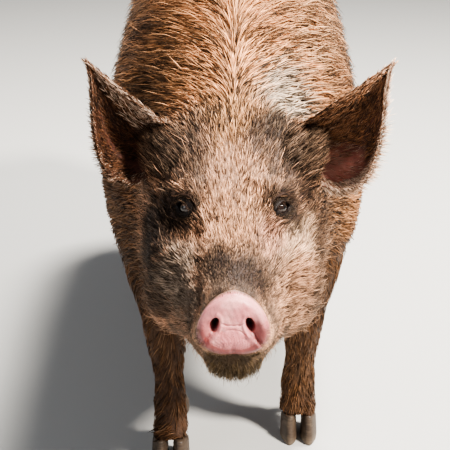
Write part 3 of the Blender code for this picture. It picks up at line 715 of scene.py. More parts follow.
def build_skin(settings):
    """The flesh and the claws' tops fused, smoothed, laid under the solids' faces and sculpted."""
    obj = copied_nodes(FLESH, "skin")
    claws = copied_nodes(CLAWS, "claw tops")
    bm = bmesh.new()
    bm.from_mesh(claws.data)
    cut = bmesh.ops.bisect_plane(
        bm, geom=[*bm.verts, *bm.edges, *bm.faces], plane_co=(0, 0, CORONET_Z),
        plane_no=(0, 0, 1), clear_inner=True,
    )["geom_cut"]
    bmesh.ops.holes_fill(bm, edges=[e for e in cut if isinstance(e, bmesh.types.BMEdge)])
    bm.from_mesh(obj.data)
    bm.to_mesh(obj.data)
    bm.free()
    bpy.data.objects.remove(claws)
    remeshed(obj, settings.grain)
    points = coords(obj)
    s, z = behind_snout(points), points[:, 2]
    share = 0.25 + 0.30 * ramp(0.18, 0.42, s)
    share *= 1 - 0.45 * (1 - ramp(0.14, 0.28, z)) * ramp(0.36, 0.40, s)
    share = np.where(s > 1.335, 0.25, share)
    crest = ramp(0.30, 0.34, s) * ramp(0.50, 0.56, z) * (s < 1.30)
    points = relax(obj, points, share, 10)
    points = relax(obj, points, crest * 0.6, 120)
    set_coords(obj, points)
    set_coords(obj, points - vertex_normals(obj) * coat_depth(points)[:, None])
    unwrap(obj)
    for wanted in (whole_head, fine_head):
        refine(obj, wanted)
        points = coords(obj)
        set_coords(obj, relax(obj, points, wanted(points) * 0.4, 4))
    sculpt(obj)
    return finish_piece(obj, skin_finish(), FLESH)


# The snout. Its relief is in millimetres, from the middle of the disc at its widest.

# Swells: how high, where, and how wide and tall.
SWELLS = (
    (2.2, (0, 31), (19, 10)), (2.6, (0, -8), (19, 8)), (3.0, (31, 8), (7.5, 11)),
    (-3.2, (24, 9), (8, 11)),
)
# Creases and ridges: how high, how wide, and the path.
CREASES = (
    (-2.8, 2.1, ((19.5, 4.5), (25, -3), (31, -11), (34.5, -16))),
    (1.1, 2.4, ((16, 0), (22, -6.5), (28, -14))),
    (-1.3, 1.1, ((0, 11), (6, 11.2), (11, 13))),
    (-0.7, 1.0, ((0, 6.5), (7, 5.5), (13, 1.5))),
)
NOSTRIL = (18.2, 11.5)
NOSTRIL_LEAN = math.radians(14)
BACK_ROWS = 0.42  # The disc's side, as a share of its front's rows.


def snout_relief(x, z):
    """The height of the relief, and the nostrils' painted shade: how deep in a nostril each point
    is, fading out towards its outer side.
    """
    a = np.abs(x + 1.2)
    lean, (right, high) = NOSTRIL_LEAN, NOSTRIL
    across = (a - right) * math.cos(lean) + (z - high) * math.sin(lean)
    up = -(a - right) * math.sin(lean) + (z - high) * math.cos(lean)
    pit = np.hypot(across / np.where(across > 0, 5.6, 4.6), up / np.where(up > 0, 8.2, 8.8))
    hole = 1 - ramp(0.50, 1.08, pit)
    height = sum(high * blob(a, z, centre, size) for high, centre, size in SWELLS)
    for high, width, path in CREASES:
        away = to_path(stack(a, 0.0, z), np.array([(p[0], 0.0, p[1]) for p in path]))
        height += high * bump_at(away, 0, width)
    height -= 1.2 * bump_at(a, 0, 2.4) * ramp(-5, -12, z)
    rays = np.arctan2(x, z + 34)
    height += 0.16 * np.sin(rays * 58 + 3 * np.sin(z * 0.35 + a * 0.2)) * bump_at(z, -8, 9)
    height += 0.30 * waves(stack(x, 0.0, z), 7.0, 11)
    height += 1.2 * bump_at(pit, 1.45, 0.30) * (across < 2)
    # The second value is the nostrils' painted shade, which fades out towards each nostril's outer
    # side, where light reaches in.
    return height - (19.0 - 11.0 * ramp(-1.5, 5.0, across)) * hole, hole * ramp(5.5, -0.5, across)


def build_snout():
    """The disc and its side, whose look holds the nostrils' painted shade, redness with painted
    shade, and the edge's hide.
    """
    low_corner, high_corner = SNOUT_BOX
    widest_z = low_corner.z + 0.0255
    half_width = (high_corner.x - low_corner.x) / 2
    above = high_corner.z - widest_z - 0.0025
    below = widest_z - low_corner.z
    bm = bmesh.new()
    layer = bm.verts.layers.float_vector.new("look")
    made, angle, out = grid(bm, 168, 96)
    angle, out = angle * 2 * math.pi, out * (1 + BACK_ROWS)
    radius = np.minimum(out, 1.0)
    back = np.maximum(out - 1.0, 0.0) / BACK_ROWS
    c, d = np.cos(angle), np.sin(angle)
    power = np.where(d > 0, 2 / 1.72, 2 / 2.35)
    cleft = 1.0 - 0.06 * bump_at(angle, 1.5 * math.pi, 0.22)
    rim_x = half_width * np.sign(c) * np.abs(c) ** power
    rim_z = np.where(d > 0, above, below * cleft) * np.sign(d) * np.abs(d) ** power
    middle = (above - below) / 2
    x = rim_x * radius * (1 - 0.10 * back)
    z = middle + (rim_z - middle) * radius * (1 - 0.10 * back)
    front = radius < 0.999
    low = ramp(0.012, -0.012, z)
    relief, hole = snout_relief(x * 1000, z * 1000)
    fade = 1 - ramp(0.84, 1.0, radius)
    h = relief / 1000 * fade
    h -= (0.0075 + 0.0035 * low) * (1 - np.sqrt(1 - np.clip((radius - 0.66) / 0.34, 0, 1) ** 2))
    h += 0.0016 * bump_at(radius, 0.82, 0.09) * (0.3 + 0.7 * low) * front
    h += 0.0010 * np.sin(back * 3 * math.pi) * (back > 0) - 0.024 * back
    y = FRONT_Y + 0.0018 + math.tan(math.radians(5)) * (z + below) - h
    wing = blob(np.abs(x), z, (0.032, 0.004), (0.010, 0.015))
    # Painted shade in the hollow beside each nostril, deeper by the +x nostril than by the -x one.
    hollow = 0.9 * blob(x, z, (0.0235, 0.008), (0.0065, 0.011))
    hollow += 0.4 * blob(x, z, (-0.0260, 0.013), (0.0050, 0.008))
    rim = bump_at(out, 0.96 - 0.06 * low, 0.16)
    # Redness, partly real and partly painted shade: the wings, the hollows by the nostrils and the
    # rim are reddened, most of all on the disc's lower part, which faces away from the light.
    red_and_painted_shade = 0.48 * wing + hollow + rim * (0.15 + 2.5 * low) + 0.30 * low * front
    look = stack(np.clip(hole * fade, 0, 1), np.clip(red_and_painted_shade, 0, 1), ramp(0.05, 0.5, back))
    lay(made, stack(x, np.maximum(y, FRONT_Y), widest_z + z), layer, look)
    bmesh.ops.remove_doubles(bm, verts=bm.verts, dist=0.00005)
    bmesh.ops.recalc_face_normals(bm, faces=bm.faces)
    return finish_piece(new_object("snout_disc", bm), snout_finish(), ("snout",))


def build_snout_hairs(finish, count=1500):
    """Short pale hairs that stand round the disc's edge, and a few on its lower rim."""
    chance = np.random.default_rng(77)
    disc = bpy.data.objects["snout_disc"]
    unwrap(disc)
    middle = placed((0, 0, 386))

    def weight(points, normals):
        away = np.hypot(points[:, 0] / 0.0395, (points[:, 2] - middle[2]) / 0.0360)
        return ramp(0.84, 0.98, away) * (points[:, 1] < FRONT_Y + 0.018)

    spots = scatter(triangles(disc), count, weight, chance)
    ways = unit((spots[0] - middle) * (1.0, 0.0, 1.0)) + np.array((0.0, 0.8, 0.0))
    ways = flattened(unit(ways + chance.normal(0, 0.25, (count, 3))), spots[1], 0.8)
    tufts(
        "snout_hairs", spots, ways, 0.0048 * chance.uniform(0.5, 1.5, count), 0.00032,
        chance.uniform(5, 35, count), chance.random(count) * 0.3, finish,
    )


# The eyes and lids.

def build_eyes():
    bm = bmesh.new()
    layer = bm.verts.layers.float_vector.new("look")
    for word in SIDES:
        radius = EYE_RADII[word]
        made = bmesh.ops.create_uvsphere(
            bm, u_segments=48, v_segments=32, radius=radius, matrix=EYE_FRAMES[word]
        )["verts"]
        local = in_eye(np.array([v.co for v in made]), word)
        away = np.hypot(local[:, 0], local[:, 1]) / radius
        away = np.where(local[:, 2] > 0, away, 1.0)
        bulge = 1 + 0.05 * (1 - ramp(0.30, 0.60, away))
        lay(made, from_eye(local * bulge[:, None], word), layer, stack(away, 0, 0))
    eyes = new_object("eyeballs", bm)
    return finish_piece(eyes, eye_finish(), ("eye_left", "eye_right"))


def almond(angle, half_width, half_height):
    """The outline of the opening between the lids, higher above than below."""
    x = np.cos(angle)
    y = np.where(np.sin(angle) > 0, 1.0, -0.80) * (1 - np.abs(x) ** 1.9) * half_height
    return half_width * x, y


def build_lids(skin):
    """Upper and lower lids as one soft ring round each eye, laid from the eyeball to the skin."""
    tree = tree_of(skin)
    bm = bmesh.new()
    bm.verts.layers.float_vector.new("look")
    for word in SIDES:
        ball = EYE_RADII[word]
        part = bmesh.new()
        layer = part.verts.layers.float_vector.new("look")
        made, angle, t = grid(part, 72, 26)
        angle = angle * 2 * math.pi
        edge_x, edge_y = almond(angle, *SLIT)
        spread = (np.maximum(t - LID_MARGIN, 0) / (1 - LID_MARGIN)) ** 1.15
        x = edge_x + (0.0235 * np.cos(angle) - edge_x) * spread
        y = edge_y + (0.0205 * np.sin(angle) - edge_y) * spread
        out = np.hypot(x, y)
        inner = np.sqrt(np.maximum((ball + 0.0002) ** 2 - np.minimum(out, ball) ** 2, 0))
        shell = np.sqrt((ball + 0.0013) ** 2 - np.minimum(out, ball * 0.8) ** 2)
        reach = np.maximum(out, 0.0180) / np.maximum(out, 1e-6)
        starts = from_eye(stack(x * reach, y * reach, 0.045), word)
        inward = -EYE_FRAMES[word].to_3x3().col[2]
        hits = [tree.ray_cast(p, inward)[0] or p for p in map(Vector, starts)]
        share = ramp(0.0062, 0.0175, out)
        outside = shell * (1 - share) + in_eye(np.array(hits), word)[:, 2] * share
        z = inner - 0.0012 + (outside - inner + 0.0012) * ramp(0.0, LID_MARGIN, t)
        upper = np.sin(angle) > -0.1
        z -= 0.0016 * bump_at(out, 0.0132, 0.0011) * upper * ramp(0.16, 0.3, t)
        z -= 0.0009 * bump_at(out, 0.0128, 0.0010) * ~upper * ramp(0.16, 0.3, t)
        z -= 0.0008 * bump_at(out, 0.0165, 0.0013) * ramp(0.3, 0.5, t)
        z -= 0.0030 * ramp(0.86, 1.0, t)
        look = stack(1 - ramp(0.10, 0.42, t), 0, 0)
        lay(made, from_eye(stack(x, y, z), word), layer, look)
        bmesh.ops.remove_doubles(part, verts=part.verts, dist=0.00003)
        mesh = bpy.data.meshes.new("lid part")
        part.to_mesh(mesh)
        part.free()
        bm.from_mesh(mesh)
        bpy.data.meshes.remove(mesh)
    bmesh.ops.recalc_face_normals(bm, faces=bm.faces)
    obj = finish_piece(new_object("lids", bm), lid_finish())
    middle = placed((0, 200, 400))
    if ((coords(obj) - middle) * vertex_normals(obj)).sum() < 0:
        obj.data.flip_normals()
    unwrap(obj)
    return obj


def build_lid_coat(lids, finish, count=2400):
    """Very short hair that fans out from each eye over the lids, up to their bare edge."""
    tree = tree_of(lids)
    for word, side in SIDES.items():
        chance = np.random.default_rng(30 + side)

        def weight(points, normals):
            local = in_eye(points, word)
            slit = np.hypot(local[:, 0] / SLIT[0], local[:, 1] / SLIT[1])
            return ramp(0.98, 1.3, slit) * (points[:, 0] * side > 0)

        spots = scatter(triangles(lids), count, weight, chance)
        local = in_eye(spots[0], word)
        fan = ways_from_eye(unit(local * (1, 1, 0)), word)
        ways = flattened(lie_of_coat(*spots[:2], chance) * 0.8 + fan * 0.8, spots[1])
        lengths = 0.32 * np.hypot(local[:, 0], local[:, 1]) * chance.uniform(0.6, 1.2, count)
        tufts(
            "coat_lids_" + word, spots, ways, lengths, 0.00042, chance.uniform(8, 22, count),
            chance.random(count), finish, tree=tree,
        )


# The ears.

def ear_sheet(word, u, v):
    """Points of an ear's middle surface: u from its upper edge to its outer, v from root to tip."""
    side = SIDES[word]
    root, tip = placed(EAR_ROOT, side), placed(EAR_TIPS[word], side)
    length = np.linalg.norm(tip - root)
    along = (tip - root) / length
    across = np.array((side * 0.46, -0.12, -0.88))
    across = unit(across - (across @ along) * along)
    out = np.cross(along, across) * side
    out = -out if out[1] > 0 else out
    width = EAR_WIDTHS[word] * (1 - ramp(0.16, 1.30, v)) * (1 - np.maximum(v, 0) ** 5)
    width *= 1 - 0.12 * (1 - ramp(-0.2, 0.25, v))
    cup = 0.036 * (1 - ramp(-0.1, 1.0, v)) + 0.004
    hollow = np.sin(math.pi * np.clip(u * 1.02, 0, 1)) ** 0.8
    roll = np.clip(1 - u / 0.16, 0, 1) ** 2 * 0.007
    roll = roll * ramp(0.05, 0.30, v) * (1 - ramp(0.35, 0.85, v))
    sink = 0.013 * ramp(0.20, -0.04, v) * ramp(0.6, 0.0, u)
    ripple = 0.0012 * np.sin(v * 21 + u * 3) * u ** 2 * (1 - v)
    tip_bend = 0.006 * np.maximum(v, 0) ** 4
    shift = -cup * hollow + roll - sink + ripple - tip_bend
    over = width * (0.42 + (u - 0.42) * (1 - 0.75 * ramp(0.05, -0.20, v)))
    return root + along * (length * v)[:, None] + across * over[:, None] + out * shift[:, None]


def ear_normals(word, u, v):
    """The sheet's normals on the side that looks forward."""
    step, last = 0.004, 0.995
    du = ear_sheet(word, u + step, v) - ear_sheet(word, u - step, v)
    dv = ear_sheet(word, u, np.minimum(v + step, last))
    dv = dv - ear_sheet(word, u, np.minimum(v, 0.991) - step)
    out = unit(np.cross(du, dv))
    return out * np.where(out[:, 1] > 0, -1, 1)[:, None]


def ear_thickness(u, v):
    rim = np.minimum(np.minimum(u, 1 - u) / 0.10, (0.998 - v) / 0.05)
    return 0.0024 * (1 - 0.45 * v) * np.sqrt(np.clip(rim, 0.0, 1.0)) + 0.0001


def ear_bare(u, v):
    """How far each place lies from the bare hollow by an ear's root, which ends at about 1."""
    reach = np.where(u < 0.78, 0.38, 0.24)
    return np.hypot((u - 0.78) / reach, (v + 0.02) / (0.13 + 0.15 * ramp(0.30, 0.75, u)))


def build_ear(word, finish):
    bm = bmesh.new()
    layer = bm.verts.layers.float_vector.new("look")
    for face in (1, -1):
        made, u, v = grid(bm, 56, 76)
        u, v = np.clip(u, 0.004, 0.996), -0.22 + 1.215 * v
        ridge = 0.0012 * np.sin(u * 26 + 4 * v) * bump_at(v, 0.25, 0.35) * (face > 0)
        ridge *= np.clip(ear_thickness(u, v) / 0.002, 0, 1)
        points = ear_sheet(word, u, v)
        points += ear_normals(word, u, v) * (face * ear_thickness(u, v) + ridge)[:, None]
        edge = 1 - ramp(0.02, 0.10, np.minimum(u, 1 - u))
        bare = (face > 0) * ramp(1.9, 0.4, ear_bare(u, v))
        lay(made, points, layer, stack(bare, 0, edge))
    bmesh.ops.remove_doubles(bm, verts=bm.verts, dist=0.00030)
    bmesh.ops.recalc_face_normals(bm, faces=bm.faces)
    return finish_piece(new_object("ear_skin_" + word, bm), finish, ("ear_" + word,))


# The claws.

def build_claws():
    names = tuple(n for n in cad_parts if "claw" in n)
    obj = remeshed(copied_nodes(names, "claws"), 0.0017)
    points = coords(obj)
    points = relax(obj, points, np.full(len(points), 0.5), 9)
    up = points[:, 2]
    groove = 0.00016 * np.sin(up * 1700 + 3 * waves(points, 0.03, 9)) * ramp(0.004, 0.012, up)
    points = points + vertex_normals(obj) * groove[:, None]
    points[:, 2] = np.maximum(points[:, 2], 0.0)
    set_coords(obj, points)
    return finish_piece(obj, horn_finish(), names)


# The coat. The spots that tufts grow on are their roots, normals and places on the unwrap.

def triangles(obj):
    """Corner points, corner normals, corner unwrap and area of each triangle of the surface."""
    mesh = obj.data
    mesh.calc_loop_triangles()
    corners = read(mesh.loop_triangles, "vertices", 3, np.int32)
    loops = read(mesh.loop_triangles, "loops", 3, np.int32)
    flat = read(mesh.uv_layers["Unwrap"].data, "uv", 2).astype(float)
    points, normals = coords(obj)[corners], vertex_normals(obj)[corners]
    sides = points[:, 1:] - points[:, :1]
    area = 0.5 * np.linalg.norm(np.cross(sides[:, 0], sides[:, 1]), axis=1)
    return points, normals, flat[loops], area


def scatter(surface, count, weight, chance):
    """Random spots on a surface, as many as asked, by the weight of their place."""
    points, normals, flat, area = surface
    share = area * np.maximum(weight(points.mean(axis=1), unit(normals.mean(axis=1))), 0)
    chosen = chance.choice(len(area), size=count, p=share / share.sum())
    a, b = chance.random(count), chance.random(count)
    over = a + b > 1
    a, b = np.where(over, 1 - a, a), np.where(over, 1 - b, b)
    mixed = stack(1 - a - b, a, b)[:, :, None]
    roots, normals, flat = ((p[chosen] * mixed).sum(axis=1) for p in (points, normals, flat))
    return roots, unit(normals), flat


def chin(points):
    return (1 - ramp(0.07, 0.12, behind_snout(points))) * ramp(0.348, 0.328, points[:, 2])


def on_tail(points):
    behind = behind_snout(points) > TAIL_START
    return behind & (points[:, 2] > TAIL_LOWEST) & (np.abs(points[:, 0]) < 0.06)


def lie_of_coat(points, normals, chance):
    """Which way the hair lies: back on the face, outwards on the neck, down the sides and legs."""
    s, x, z = behind_snout(points), points[:, 0], points[:, 2]
    side = np.tanh(x / 0.012)
    top = np.clip(normals[:, 2], 0, 1)
    head = 1 - ramp(0.24, 0.34, s)
    neck = ramp(0.24, 0.34, s) * (1 - ramp(0.55, 0.85, s))
    leg = (1 - ramp(0.27, 0.37, z)) * ramp(0.36, 0.42, s)
    lower = 1 - ramp(0.30, 0.44, z)
    way = stack(
        side * (0.20 * head + 0.85 * neck + 0.35 * (1 - head - neck)),
        1.0,
        0.55 * top * head - 0.10 * head * (1 - top) - (0.30 + 0.30 * lower) * (1 - head),
    )
    way[:, 0] += side * 0.6 * (head * ramp(0.03, 0.07, np.abs(x)) * (1 - top))
    way = way * (1 - leg)[:, None] + np.array((0, 0.18, -1.0)) * leg[:, None]
    way[:, 2] -= 2.2 * chin(points)
    way[:, 2] -= 1.2 * ramp(1.22, 1.33, s)
    way = flattened(np.where(on_tail(points)[:, None], (0.0, 0.15, -1.0), way), normals)
    stray = 0.16 * waves(points, 0.05, 21) + 0.13 * waves(points, 0.017, 22)
    return turned(way, normals, stray + chance.normal(0, 0.11, len(s)))


def coat_length(points):
    """How long the hair is, by place, in metres."""
    s, x, z = behind_snout(points), np.abs(points[:, 0]), points[:, 2]
    length = 0.0055 + 0.0080 * ramp(0.03, 0.15, s) + 0.006 * ramp(0.16, 0.26, s)
    length += 0.012 * ramp(0.27, 0.40, s)
    length += 0.007 * (1 - ramp(0.24, 0.34, s)) * ramp(0.03, 0.08, x) * ramp(0.44, 0.36, z)
    length += 0.008 * ramp(0.36, 0.44, s) * (1 - ramp(0.9, 1.2, s)) * ramp(0.55, 0.64, z)
    leg = (1 - ramp(0.16, 0.34, z)) * ramp(0.36, 0.42, s)
    length = length * (1 - 0.55 * leg)
    length = np.where(on_tail(points), 0.0095 + 0.012 * ramp(0.50, 0.44, z), length)
    return length + 0.013 * chin(points)


def tree_of(obj):
    return BVHTree.FromObject(obj, bpy.context.evaluated_depsgraph_get())


def on_form(points, tree):
    """The nearest point of the surface under each point, and the surface's normal there."""
    found = [tree.find_nearest(p)[:2] for p in points.tolist()]
    return np.array([f[0] for f in found]), np.array([f[1] for f in found])


# A tuft has two rings of three corners and a tip: its triangles, how far along each corner lies
# and the corners' places in its patch of OFBake.
TUFT_FACES = np.array([
    face for a, b in ((0, 1), (1, 2), (2, 0))
    for face in ((a, b, b + 3), (a, b + 3, a + 3), (a + 3, b + 3, 6))
])
TUFT_ALONG = (0, 0, 0, 0.52, 0.52, 0.52, 1.0)
TUFT_PATCH = np.array(
    [(-1, -1), (0, -1), (1, -1), (-1, 0), (0, 0), (1, 0), (0, 1)]
) * BAKE_PATCH / 2


def tufts(name, spots, ways, lengths, widths, lifts, tints, finish, tree=None):
    """Flattened three-sided tufts, each bent along the form under it, joined in one mesh."""
    roots, normals, flat = spots
    count, per = len(roots), len(TUFT_ALONG)
    chance = np.random.default_rng(count)
    across = np.cross(ways, normals)
    sway = chance.normal(0, 0.12, count)
    half, lifts = 0.5 * widths * np.ones(count), np.radians(lifts)
    corners = []
    centre, under, up, way = roots - normals * 0.0012, roots, normals, ways
    for t, thickness in ((0.0, 0.85), (0.5, 1.0), (1.0, 0.0)):
        if t:
            step = (lengths * 0.5 * np.cos(lifts))[:, None]
            under = under + way * step + across * (lengths * sway * t * 0.5)[:, None]
            if tree:
                free = chin(roots)[:, None] * 0.9
                close, now = on_form(under, tree)
                under = close + (under - close) * free
                up = unit(up * 0.4 + now * 0.6)
                way = flattened(way, up)
            centre = under + up * (lengths * np.sin(lifts) * (t - 0.42 * t * t))[:, None]
        for angle in (90, 210, 330) if thickness else ():
            a, thick = math.radians(angle), half * thickness
            sideways = across * (thick * math.cos(a))[:, None]
            corners.append(centre + sideways + up * (thick * 0.55 * math.sin(a))[:, None])
    points = np.stack([*corners, centre], axis=1).reshape(-1, 3)
    faces = (np.arange(count)[:, None, None] * per + TUFT_FACES).reshape(-1, 3)
    mesh = bpy.data.meshes.new(name)
    mesh.vertices.add(len(points))
    fill(mesh.vertices, "co", points)
    mesh.loops.add(faces.size)
    fill(mesh.loops, "vertex_index", faces, np.int32)
    mesh.polygons.add(len(faces))
    fill(mesh.polygons, "loop_start", np.arange(0, faces.size, 3), np.int32)
    mesh.update(calc_edges=True)
    other = np.repeat(chance.random(count), per)
    look = stack(np.repeat(tints, per), np.tile(TUFT_ALONG, count), other)
    for key, value in (("hair", look), ("root", np.repeat(roots, per, axis=0))):
        fill(mesh.attributes.new(key, "FLOAT_VECTOR", "POINT").data, "vector", value)
    patch = (flat[:, None, :] + TUFT_PATCH).reshape(-1, 2)
    fill(mesh.uv_layers.new(name="OFBake").data, "uv", patch[faces.ravel()])
    return finish_piece(linked(name, mesh), finish)


# The coat's parts: how many pieces each has and how many tufts a piece, where it starts and ends
# behind the snout, the tufts' width, their lift in degrees, and how much longer they are.
Fleece = namedtuple("Fleece", "name pieces tufts first last width lift longer")
FLEECES = (
    Fleece("face", 2, 20500, -0.1, 0.27, 0.0008, 12, 1.0),
    Fleece("neck", 2, 17500, 0.24, 0.62, 0.0020, 13, 1.0),
    Fleece("trunk", 2, 13500, 0.58, 1.50, 0.0033, 12, 1.25),
    Fleece("legs", 1, 18000, 0.36, 1.50, 0.0014, 8, 1.2),
    Fleece("bristles", 1, 9750, 0.05, 1.50, 0.0012, 20, 2.2),
    Fleece("beard", 1, 3000, 0.00, 0.28, 0.0006, 26, 1.45),
    Fleece("tail", 1, 2200, 1.20, 1.50, 0.0011, 14, 1.0),
)


def fleece_weight(fleece):
    """The share of roots by place for one part of the coat."""
    name, first, last = fleece.name, fleece.first, fleece.last

    def weight(points, normals):
        s, z = behind_snout(points), points[:, 2]
        body = (z > 0.335) | (s < 0.38)
        share = ramp(first, first + 0.04, s) * (1 - ramp(last, last + 0.04, s))
        share = share * (body != (name == "legs"))
        if name == "legs":
            sole = (normals[:, 2] < -0.7) & (z < 0.06)
            share = share * (z > CORONET_Z - 0.002) * ~sole * (2.2 - ramp(0.10, 0.30, z))
        share = share * (s > 0.014) * (on_tail(points) == (name == "tail"))
        if name == "face":
            share = share * (1 + 2.2 * (1 - ramp(0.10, 0.20, s))) * (1 - 0.5 * ramp(0.27, 0.31, s))
        if name == "bristles":
            mane = 2.0 * ramp(0.28, 0.36, s) * (1 - ramp(0.8, 1.3, s)) * ramp(0.40, 0.55, z)
            share = share * (0.5 + mane)
        if name == "beard":
            share = share * ramp(0.405, 0.34, z - 0.10 * ramp(0.10, 0.26, s))
        if name == "trunk":
            share = share * (1 - 0.5 * ramp(0.36, 0.30, z))
        for word in SIDES:
            local = in_eye(points, word)
            clear = np.hypot(local[:, 0], local[:, 1] * 1.15) > 0.0165
            share = share * (clear | (np.abs(local[:, 2]) > 0.04))
        return share
    return weight


def build_fleeces(skin, finish, fullness):
    surface, tree = triangles(skin), tree_of(skin)
    for fleece in FLEECES:
        count = int(fleece.tufts * fullness)
        for number in range(fleece.pieces):
            chance = np.random.default_rng(100 * len(fleece.name) + number)
            spots = scatter(surface, count, fleece_weight(fleece), chance)
            roots, normals, _ = spots
            ways = lie_of_coat(roots, normals, chance)
            lengths = coat_length(roots) * fleece.longer * chance.uniform(0.72, 1.22, count)
            widths = fleece.width * chance.uniform(0.7, 1.2, count)
            widths *= 0.55 + 0.45 * ramp(0.02, 0.14, behind_snout(roots))
            lifts = fleece.lift * chance.uniform(0.5, 1.7, count)
            tints = chance.random(count)
            if fleece.name == "bristles":
                tints = np.where(tints > 0.25, 0.97, tints)
                lifts = lifts * (0.5 + 0.5 * np.clip(normals[:, 2], 0, 1))
            if fleece.name == "beard":
                tints = tints * 0.4
            piece = f"coat_{fleece.name}_{number + 1}"
            tufts(piece, spots, ways, lengths, widths, lifts, tints, finish, tree=tree)


# The parts of an ear's coat: the band of u that each grows on, on which faces, how many tufts,
# how long and wide, how much they fan to the edges, and the range of their tints, where negative
# ones are pale.
EarHair = namedtuple("EarHair", "name first last faces tufts length width fan tints")
EAR_HAIRS = (
    EarHair("inner", 0.02, 0.98, (1,), 3900, 0.0130, 0.0009, 1.3, (0.15, 1.0)),
    EarHair("outer", 0.02, 0.98, (-1,), 2500, 0.0120, 0.0012, 0.6, (0.15, 1.0)),
    EarHair("upper_band", 0.0, 0.28, (1,), 1500, 0.0210, 0.0012, 0.7, (-0.7, 0.9)),
    EarHair("upper_edge", 0.0, 0.08, (1, 1, -1), 1000, 0.0130, 0.0008, -0.5, (-0.8, 0.4)),
    EarHair("outer_edge", 0.90, 1.0, (1, -1), 1700, 0.0140, 0.0008, 2.2, (-0.9, 0.0)),
)


def build_ear_coat(word, finish, fullness):
    """Hair that runs to the tip and fans to the edges, dark inside, pale along the edges."""
    left = word == "left"
    for number, hair in enumerate(EAR_HAIRS):
        inner, outer = hair.name == "inner", hair.name == "outer_edge"
        chance = np.random.default_rng(40 + number + 10 * SIDES[word])
        count = int(hair.tufts * fullness)
        v = np.minimum(1.02 - 1.10 * np.sqrt(1 - chance.random(count)), 0.965)
        u = chance.uniform(hair.first, hair.last, count)
        if inner:
            v = np.maximum(v, -0.04) + 0.12 * ramp(0.25, 0.0, v) * chance.random(count)
            kept = 0.28 + 0.72 * ramp(0.55, 1.75, ear_bare(u, v)) ** 1.5
            bare = (chance.random(count) > kept) & left
            u, v = np.where(bare, u * 0.55, u), np.where(bare, v + 0.25 * chance.random(count), v)
        face = chance.choice(hair.faces, count)
        normals = ear_normals(word, u, v) * face[:, None]
        roots = ear_sheet(word, u, v) + normals * (ear_thickness(u, v) - 0.0002)[:, None]
        along = unit(ear_sheet(word, u, v + 0.01) - ear_sheet(word, u, v - 0.01))
        across = unit(ear_sheet(word, u + 0.01, v) - ear_sheet(word, u - 0.01, v))
        fan = hair.fan * (u - 0.42) * (1 - 0.75 * ramp(0.4, 0.95, v))
        ways = unit(along + across * (fan + chance.normal(0, 0.13, count))[:, None])
        lengths = hair.length * chance.uniform(0.6, 1.35, count) * (1 - 0.35 * ramp(0.75, 1.0, v))
        lengths = np.minimum(lengths, 0.033 - 0.022 * v)
        if outer and not left:
            lengths = lengths * 0.6
        flat = stack(0.01 + 0.46 * u + 0.5 * (face < 0), 0.08 + 0.9 * np.clip(v, 0, 1))
        tints = chance.uniform(*hair.tints, count) + 0.60 * (hair.first == 0 if left else outer)
        thin = (ear_bare(u, v) < 1.3) & left & inner
        tints = np.where(thin, chance.uniform(-0.5, 0.7, count), tints)
        tints = tints - 0.7 * left * ramp(0.76, 0.95, v)
        tufts(
            f"coat_ear_{word}_{hair.name}", (roots, normals, flat), flattened(ways, normals),
            lengths, np.where(thin, 0.00045, hair.width), chance.uniform(5, 20, count), tints,
            finish,
        )


def build_ear_roots(skin, finish, count=1500):
    """Long hair of the head that runs out over each ear's base, so that no step shows there."""
    surface = triangles(skin)
    for word, side in SIDES.items():
        chance = np.random.default_rng(50 + side)
        middle = placed(EAR_BASE, side)
        aim = unit(placed(EAR_TIPS[word], side) - placed(EAR_ROOT, side))

        def weight(points, normals):
            away = np.linalg.norm((points - middle) / (0.034, 0.045, 0.045), axis=1)
            return ramp(1.0, 0.35, away)

        spots = scatter(surface, count, weight, chance)
        ways = aim + 0.5 * lie_of_coat(*spots[:2], chance) + chance.normal(0, 0.10, (count, 3))
        tufts(
            "coat_ear_root_" + word, spots, flattened(ways, spots[1], 0.7),
            0.023 * chance.uniform(0.6, 1.3, count), 0.0010, chance.uniform(8, 30, count),
            chance.random(count), finish,
        )


def build_lashes(lids, finish, count=84):
    """Stiff pale and dark lashes on the upper lids, fewer below."""
    corners, _, flat, _ = triangles(lids)
    middles, flat = corners.mean(axis=1), flat.mean(axis=1)
    for word, side in SIDES.items():
        chance = np.random.default_rng(60 + side)
        upper = chance.random(count) < 0.78
        turn = np.where(upper, chance.uniform(0.12, 0.88, count), chance.uniform(1.2, 1.8, count))
        x, y = almond(turn * math.pi, SLIT[0] + 0.0006, SLIT[1] + 0.0006)
        z = np.sqrt(np.maximum((EYE_RADII[word] + 0.0016) ** 2 - x ** 2 - y ** 2, 0))
        roots = from_eye(stack(x, y, z), word)
        aim = stack(x * 25, np.where(upper, 0.05, -0.5) + y * 20, 1.0)
        ways = ways_from_eye(unit(aim + chance.normal(0, 0.14, (count, 3))), word)
        above = ways_from_eye(np.array((0, 1.0, 0.0)), word)
        normals = flattened(np.tile(above, (count, 1)), ways)
        lengths = np.where(upper, 0.0105, 0.006) * chance.uniform(0.6, 1.2, count)
        nearest = np.linalg.norm(roots[:, None] - middles[None], axis=2).argmin(axis=1)
        tufts(
            "lashes_" + word, (roots, normals, flat[nearest]), ways, lengths, 0.00045,
            np.where(upper, -14, 14), chance.random(count), finish,
        )


# The studio.

# The lens and its shift were matched to the photograph, in its pixels.
PHOTO_SIDE = 450
FOCAL_LENGTH = 1212
SHIFT = (-8.5, 3.5)
SENSOR = 36.0  # Millimetres.
CAMERA_AWAY = 1.26  # Metres from the middle of the snout.
CAMERA_RISE = math.radians(25)
CAMERA_PITCH = math.radians(20.28)
